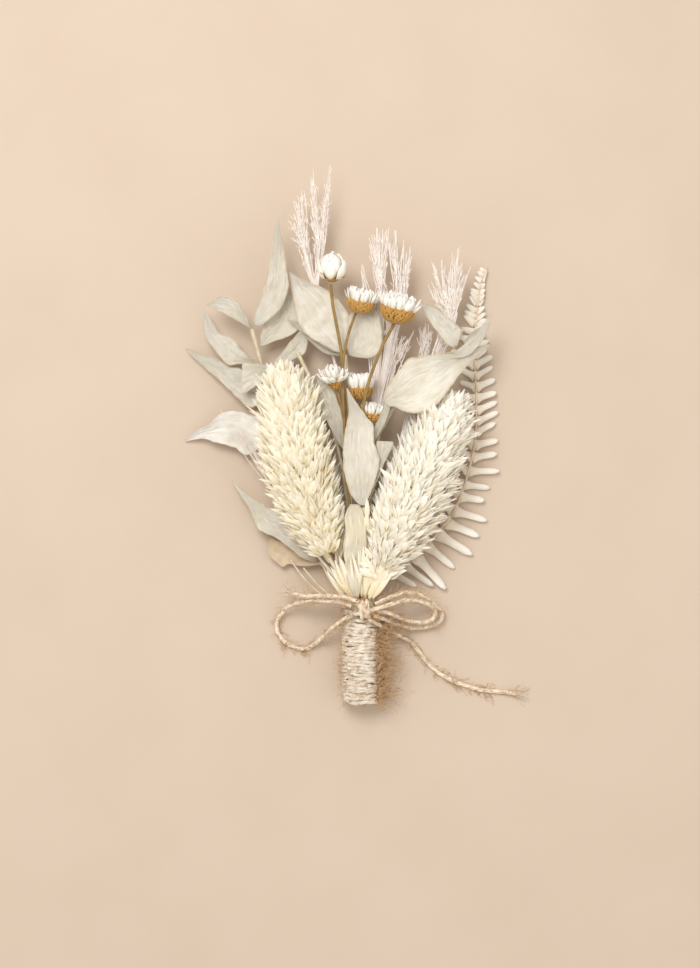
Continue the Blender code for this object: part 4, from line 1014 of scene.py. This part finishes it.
TUFTS = [
    Tuft("brush_a_tuft",
         ((-1.5, 1, 3.5), (-1.6, 40, 3.8), (-2.4, 55, 4.2), (-3.6, 72, 4.6), (-6.6, 90, 5.4), (-11.2, 106, 6.6),
          (-12.6, 111.5, 7)),
         (((-14.4, 120, 7.8), ((-17.7, 133.2, 8.4), (-16.4, 128.8, 8.2), (-18.2, 127.8, 8), (-15.5, 138, 8.6),
                               (-17, 123.5, 8))),
          ((-10.3, 119.5, 8.6), ((-12.9, 142, 8.4), (-12.2, 134, 9), (-8, 142.6, 9.6), (-9.2, 134, 9.8),
                                 (-13.2, 130, 9), (-11, 127, 9.2)))), 5, 0.5, 10, 0.2),
    Tuft("brush_b_tuft",
         ((0.8, 1, 3.6), (0.9, 40, 4.4), (1.6, 52, 5.6), (2.8, 65, 6.4), (4.3, 76, 7)),
         (((5.3, 106, 8.6), ((2.2, 123.3, 9.2), (3.5, 124.2, 9), (4.7, 126.8, 9), (5.6, 125.3, 9),
                             (7.1, 127.4, 8.6))),
          ((10.4, 106.4, 8.6), ((7.6, 124.4, 8.8), (9.4, 125.4, 8.8), (9.4, 121, 9), (11.6, 123.4, 9.2),
                                (12.6, 120.5, 9.2), (13.9, 121.2, 9.4), (13.3, 116, 9))),
          ((1.6, 106, 8.8), ((0.4, 116.2, 9),)),
          ((8.2, 88, 7.8), ((8.5, 100.4, 8.4), (9.8, 99, 8.2), (11.6, 97.5, 8.4), (14.2, 99, 8.8)))), 6, 0.4, 5, 0.26),
    Tuft("brush_c_tuft",
         ((2.6, 1, 3.4), (3.8, 38, 3.4), (5.4, 50, 4.2), (8.2, 62, 5), (12.5, 73, 6)),
         (((23.2, 100, 8), ((18.2, 111.8, 8.6), (18.8, 118, 8.4), (21.3, 118, 8), (22.6, 113, 8.4),
                            (24.2, 119.9, 8.4), (25.8, 120.8, 8.8), (27.3, 118.6, 8.2), (28.8, 115.8, 8),
                            (26.5, 112, 8.4))),
          ((17, 93, 7.6), ((17.4, 101, 8.4), (18.6, 99.4, 8.2), (16, 100, 8.2)))), 6, 0.4, 5, 0.25),
    Tuft("brush_d_tuft",
         ((-2.7, 1, 6.4), (-2.7, 27, 6.4), (-6.6, 33.6, 7), (-13.4, 42.4, 7.2), (-19, 50.7, 7.4),
          (-22.8, 56.9, 7.3)),
         (((-28.5, 66.5, 7.8), ((-37.2, 77.8, 8.8), (-34.6, 76.6, 8), (-32.4, 74, 8.4))),), 4, 0.5, 1, 0.12),
]


# ---------------------------------------------------------------- twine


@dataclass(frozen=True)
class Twine:
    """Loosely twisted strands of jute along a route, with fine fibres on them and stray ones around.

    Args:
        diameter: across all strands.
        lay: millimetres for one full twist.
        strands: how many strands.
        threads: how many fine fibres lie on them.
    """

    diameter: float = 1.05
    lay: float = 7.5
    strands: int = 4
    threads: int = 5

    def plies(self, name: str, route: Path, fray: float = 0.0) -> bpy.types.Object:
        """The strands and the fibres on them as one mesh.

        Args:
            name: the object's name.
            route: closely spaced points.
            fray: how much the strands thin towards the far end.

        Returns:
            The object, in place.
        """
        length = length_of(route)
        count = max(16, round(length / 0.8))
        line = smooth_path(route, count) if len(route) < count else route
        ply = self.diameter * 0.25
        made = []
        for number in range(self.strands + self.threads):
            thread = number >= self.strands
            reach = self.diameter / 2 - (0.04 if thread else ply)
            start = 2 * math.pi * (number / self.strands if not thread else number * 0.37)
            points = []
            for i, here in enumerate(line):
                ahead = (line[min(i + 1, len(line) - 1)] - line[max(i - 1, 0)]).normalized()
                side = ahead.cross(Vector((0.05, 0.1, 1))).normalized()
                up = side.cross(ahead)
                angle = start + 2 * math.pi * i / (len(line) - 1) * length / self.lay
                angle += 1.6 * ripple(here, 6, number)
                swell = 1 + 0.3 * ripple(here, 2.5, 3.1 * number)
                points.append(here + (side * math.cos(angle) + up * math.sin(angle)) * reach * swell)
            thick = 0.075 if thread else ply * (1 + 0.16 * ((number % 3) - 1))
            made.append((points, thick, thick * (1 - 0.4 * fray)))
        return rods(name, made, 1)

    def fibres(self, name: str, route: Path, per_mm: float, reach: float, seed: int,
               lean: tuple = (0, 0, 0), floor: float = 0.08) -> bpy.types.Object:
        """Stray fibres that curl off the twine.

        Args:
            name: the object's name.
            route: the twine's points.
            per_mm: fibres per millimetre of it.
            reach: the longest fibre.
            seed: the seed of their differences.
            lean: a direction that they favour.
            floor: the lowest height they reach.

        Returns:
            The object, in place.
        """
        rng = random.Random(seed)
        made = []
        for _ in range(round(length_of(route) * per_mm)):
            i = rng.randrange(len(route) - 1)
            here = route[i]
            ahead = (route[i + 1] - here).normalized()
            aim = Vector((rng.gauss(0, 1), rng.gauss(0, 1), rng.gauss(0, 0.8))).normalized() + ahead * 0.9 + Vector(lean)
            size = reach * rng.uniform(0.35, 1.0) ** 1.5
            bend = Vector((rng.gauss(0, 1), rng.gauss(0, 1), rng.gauss(0, 0.7))) * size * 0.25
            points = [here, here + aim * size * 0.35 + bend * 0.9, here + aim * size * 0.7 - bend * 0.5,
                      here + aim * size + bend * 0.8]
            points = [Vector((p.x, p.y, max(p.z, floor))) for p in smooth_path(points, 9)]
            made.append((points, 0.085, 0.045))
        return rods(name, made)


KNOT_CENTRE = Vector((0.9, 25.3, 2 * WRAP_RADIUS + 1.8))
KNOT_HALF_SIZE = (2.9, 2.2, 1.5)
PORT_GAP = 0.6


def knot_port(towards: tuple) -> Vector:
    """The point just outside the knot where a strand leaves it in that direction."""
    way = Vector(towards).normalized()
    reach = 1 / math.sqrt(sum((w / h) ** 2 for w, h in zip(way, KNOT_HALF_SIZE)))
    return KNOT_CENTRE + way * (reach + PORT_GAP)


@dataclass(frozen=True)
class FreeTwine:
    """A bow loop, end or tail: a free cord from the knot.

    Args:
        node: the CAD node it stands for.
        start: the direction in which it leaves the knot.
        route: its points.
        end: the direction in which it comes back to the knot, or None where its end is free.
        declared: whether it is long enough to count as a cord; its path in metres is then worked out but not used.
        fuzz: stray fibres per millimetre.
    """

    node: str
    start: tuple
    route: tuple
    end: tuple | None
    declared: bool = True
    fuzz: float = 3.4
    reach: float = 3.2

    def build(self, twine: Twine) -> None:
        """The plies, their fibres and, where its end is free, a frayed tip."""
        points = [knot_port(self.start), *map(Vector, self.route)]
        if self.end:
            points.append(knot_port(self.end))
        line = smooth_path(points, 90)
        cord = show(twine.plies(f"{self.node}_look", line), JUTE, [self.node])
        fuzz = twine.fibres(f"{self.node}_fuzz", line, self.fuzz, self.reach, len(self.node))
        show(fuzz, JUTE_FUZZ, [])
        if not self.end:
            self._frayed_tip(line)
        if self.declared:
            path = [Layout.at(*p) for p in line]

    def _frayed_tip(self, line: Path) -> bpy.types.Object:
        """Fibres that splay at the free end."""
        rng = random.Random(len(self.node) * 7)
        ahead = (line[-1] - line[-6]).normalized()
        made = []
        for _ in range(46):
            start = line[-1 - rng.randrange(5)] + Vector((0, rng.uniform(-0.3, 0.3), rng.uniform(0, 0.3)))
            aim = ahead + Vector((rng.gauss(0, 0.1), rng.gauss(0, 0.3), rng.gauss(0, 0.16)))
            size = rng.uniform(1.5, 4.2)
            end = start + aim * size
            middle = start.lerp(end, 0.5) + Vector((0, rng.gauss(0, 0.15), rng.gauss(0, 0.1)))
            points = [Vector((p.x, p.y, max(p.z, 0.08))) for p in (start, middle, end)]
            made.append((points, 0.07, 0.035))
        return show(rods(f"{self.node}_frayed_tip", made), JUTE, [])


FREE_TWINE = [
    FreeTwine("bow_loop_left", (-1, 0.3, 0.15),
              ((-5, 27.2, 11.8), (-9.5, 27.6, 10.6), (-14.5, 27.3, 7.6), (-19, 25.6, 3.8), (-21.8, 22.3, 1.4),
               (-22, 19, 0.8), (-20.3, 16.4, 0.7), (-17.3, 14.7, 0.7), (-14.3, 14.4, 0.8), (-11.8, 15.8, 1.6),
               (-9.3, 18.2, 4), (-6.9, 20.6, 7), (-4.4, 22.6, 9.9)), (-1, -0.45, -0.1)),
    FreeTwine("bow_loop_right_outer", (1, 0.42, -0.1),
              ((7.6, 28.4, 11), (12.5, 29.7, 8.6), (17, 28.5, 6), (20.6, 25.6, 3.6), (21.9, 22.8, 2.4),
               (20.2, 21, 2), (17, 20.1, 1.9), (13.3, 20, 2.6), (9.6, 21.2, 5.2), (6.6, 22.6, 8.6)),
              (1, -0.55, -0.2)),
    FreeTwine("bow_loop_right_inner", (1, 0.05, 0.45),
              ((7.6, 26.6, 13), (11.8, 27.7, 11), (15.6, 27.4, 8.4), (18.7, 26.1, 6.2), (20, 24.1, 4.9),
               (19, 22.2, 4.2), (16.2, 21.5, 4.1), (12.6, 22.2, 5.9), (9.4, 23.5, 8.8), (7.8, 24.3, 10.3)),
              (1, -0.1, -0.05)),
    FreeTwine("twine_tail", (0.55, -1, -0.25),
              ((4.3, 21.6, 9.4), (6.3, 20.3, 6.6), (8.4, 19.1, 3), (11, 17.6, 1), (13.9, 15.8, 0.7),
               (16.6, 12.4, 0.7), (19.5, 9.1, 0.7), (23, 6.6, 0.7), (27, 4.9, 0.7), (32, 3.4, 0.7),
               (36.4, 2.9, 0.7), (41.5, 2.4, 0.7)), None),
    FreeTwine("twine_end_left", (-0.55, 1, 0.5),
              ((-4.6, 28.7, 13.2), (-9.5, 28.9, 12), (-14.2, 28.7, 9.1), (-17.6, 29.2, 6.9)), None, False, 4.0),
]


class Binding:
    """The twine wound round the stems, the band under the bow and the knot."""

    radius = WRAP_RADIUS - 0.52
    wrap = (0.5, 22.6, 25)
    band = (23.9, 26.3, 3)
    samples_per_turn = 60

    def __init__(self, twine: Twine) -> None:
        self.twine = twine

    def _winding(self, low: float, high: float, turns: int, seed: float) -> Path:
        """A helix round the bundle whose turns wander a little."""
        made = []
        for i in range(turns * self.samples_per_turn + 1):
            turn = i / self.samples_per_turn
            angle = 2 * math.pi * turn
            around = Vector((math.cos(angle), 0, math.sin(angle)))
            wander = ripple(around * 2 + Vector((0, turn * 0.8, 0)), 1.2, seed)
            y = low + (high - low) * turn / turns + 1.1 * wander
            made.append(Vector((0, y, WRAP_RADIUS)) + around * (self.radius + 0.3 * ripple(around, 0.6, turn)))
        return made

    def build(self) -> None:
        """Wrap, band and knot with their fibres."""
        for name, (low, high, turns), seed in (("twine_wrap", self.wrap, 2.0), ("bow_band", self.band, 5.0)):
            line = self._winding(low, high, turns, seed)
            show(self.twine.plies(f"{name}_look", line), JUTE_WRAP, [name])
            fuzz = self.twine.fibres(f"{name}_fuzz", line, 1.0, 3.0, int(seed))
            show(fuzz, JUTE_FUZZ, [])
        right = [p for p in self._winding(*self.wrap, 2.0) if p.x > 0.86 * self.radius]
        show(self.twine.fibres("twine_wrap_right_fuzz", right, 4.0, 4.6, 31, (0.9, 0, -0.2)), JUTE_FUZZ,
             [])
        self._knot()
        self._core()

    def _knot(self) -> None:
        """Two turns over the knot, one tilted against the other, on two strands that cross beneath."""
        arcs = []
        for offset, tilt in ((-0.75, 12), (0.2, 18), (1.1, 8)):
            turn = Matrix.Rotation(math.radians(tilt), 3, "Z")
            angles = [math.radians(-115 + 230 * i / 23) for i in range(24)]
            arcs.append([KNOT_CENTRE + turn @ Vector((offset, 2.1 * math.sin(a), 1.15 * math.cos(a) - 0.4))
                         for a in angles])
        for offset, tilt in ((0.6, -24), (-0.7, 14)):
            turn = Matrix.Rotation(math.radians(tilt), 3, "Z")
            angles = [math.radians(-100 + 200 * i / 23) for i in range(24)]
            arcs.append([KNOT_CENTRE + turn @ Vector((2.5 * math.sin(a), offset, 0.75 * math.cos(a) - 0.6))
                         for a in angles])
        for i, line in enumerate(arcs):
            strand = self.twine.plies(f"bow_knot_turn_{i}", line)
            show(strand, JUTE, ["bow_knot"] if i == 0 else [])
        show(self.twine.fibres("bow_knot_fuzz", arcs[1] + arcs[3], 5, 2.6, 9), JUTE_FUZZ, [])

    def _core(self) -> None:
        """A plain rod of packed stems inside the wrap, cut square at the lower end."""
        core = rods("stem_core", [([Vector((0, 0.9, WRAP_RADIUS)), Vector((0, 27, WRAP_RADIUS))], 3.75, 3.6)], 6)
        show(core, STRAW, [])


# ---------------------------------------------------------------- CAD stems, stage


def dress_stems() -> None:
    """Gives the CAD stems that are shown their finishes."""
    for name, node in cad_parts.items():
        if not name.endswith("_stem"):
            continue
        daisy = name.startswith("daisy")
        node.data.materials.clear()
        node.data.materials.append((BROWN_STEM if daisy else STRAW).build())
        for face in node.data.polygons:
            face.use_smooth = True


@dataclass
class Stage:
    """Floor, camera and soft light."""

    view_centre: tuple = (-2.65, 58.3, 6.0)
    view_height: float = 256.5
    distance: float = 700.0
    sensor: float = 36.0
    lights: list = field(default_factory=lambda: [((-150, 300, 560), 260, 2.15), ((420, -60, 420), 500, 0.4)])

    def build(self) -> None:
        """Camera first, then the light and the floor."""
        camera = bpy.data.cameras.new("camera")
        camera.sensor_width = self.sensor
        camera.lens = self.sensor * self.distance / self.view_height
        camera.clip_start, camera.clip_end = 0.01, 10
        holder = bpy.data.objects.new("camera", camera)
        x, y, z = self.view_centre
        holder.location = Layout.at(x, y, z + self.distance)
        bpy.context.scene.collection.objects.link(holder)
        bpy.context.scene.camera = holder
        target = Layout.at(x, y, z)
        for i, (place, size, power) in enumerate(self.lights):
            lamp = bpy.data.lights.new(f"softbox_{i}", "AREA")
            lamp.size = size * MM
            lamp.energy = power
            lamp_holder = bpy.data.objects.new(f"softbox_{i}", lamp)
            lamp_holder.location = Layout.at(*place)
            lamp_holder.rotation_euler = (target - lamp_holder.location).to_track_quat("-Z", "Y").to_euler()
            bpy.context.scene.collection.objects.link(lamp_holder)
        world = bpy.data.worlds.new("studio")
        world.use_nodes = True
        world.node_tree.nodes["Background"].inputs["Color"].default_value = (1.0, 0.95, 0.88, 1)
        world.node_tree.nodes["Background"].inputs["Strength"].default_value = 0.72
        bpy.context.scene.world = world
        bpy.context.scene.view_settings.view_transform = "Standard"
        bpy.ops.mesh.primitive_plane_add(size=4.0, location=(0, 0, 0))
        floor = bpy.context.object
        floor.name = "floor"
        floor.data.materials.append(TABLE.build())


def main() -> None:
    """Builds the stage, the twine, then every part of the bunch."""
    Stage().build()
    twine = Twine()
    for piece in FREE_TWINE:
        piece.build(twine)
    Binding(twine).build()
    dress_stems()
    for leaf in LEAVES:
        leaf.build()
    for paper in PAPERS:
        paper.build()
    WispyStems().build()
    for head in HEADS:
        head.build()
    Fern().build()
    for daisy in DAISIES:
        daisy.build()
    for tuft in TUFTS:
        tuft.build()


if __name__ == "__main__":
    main()
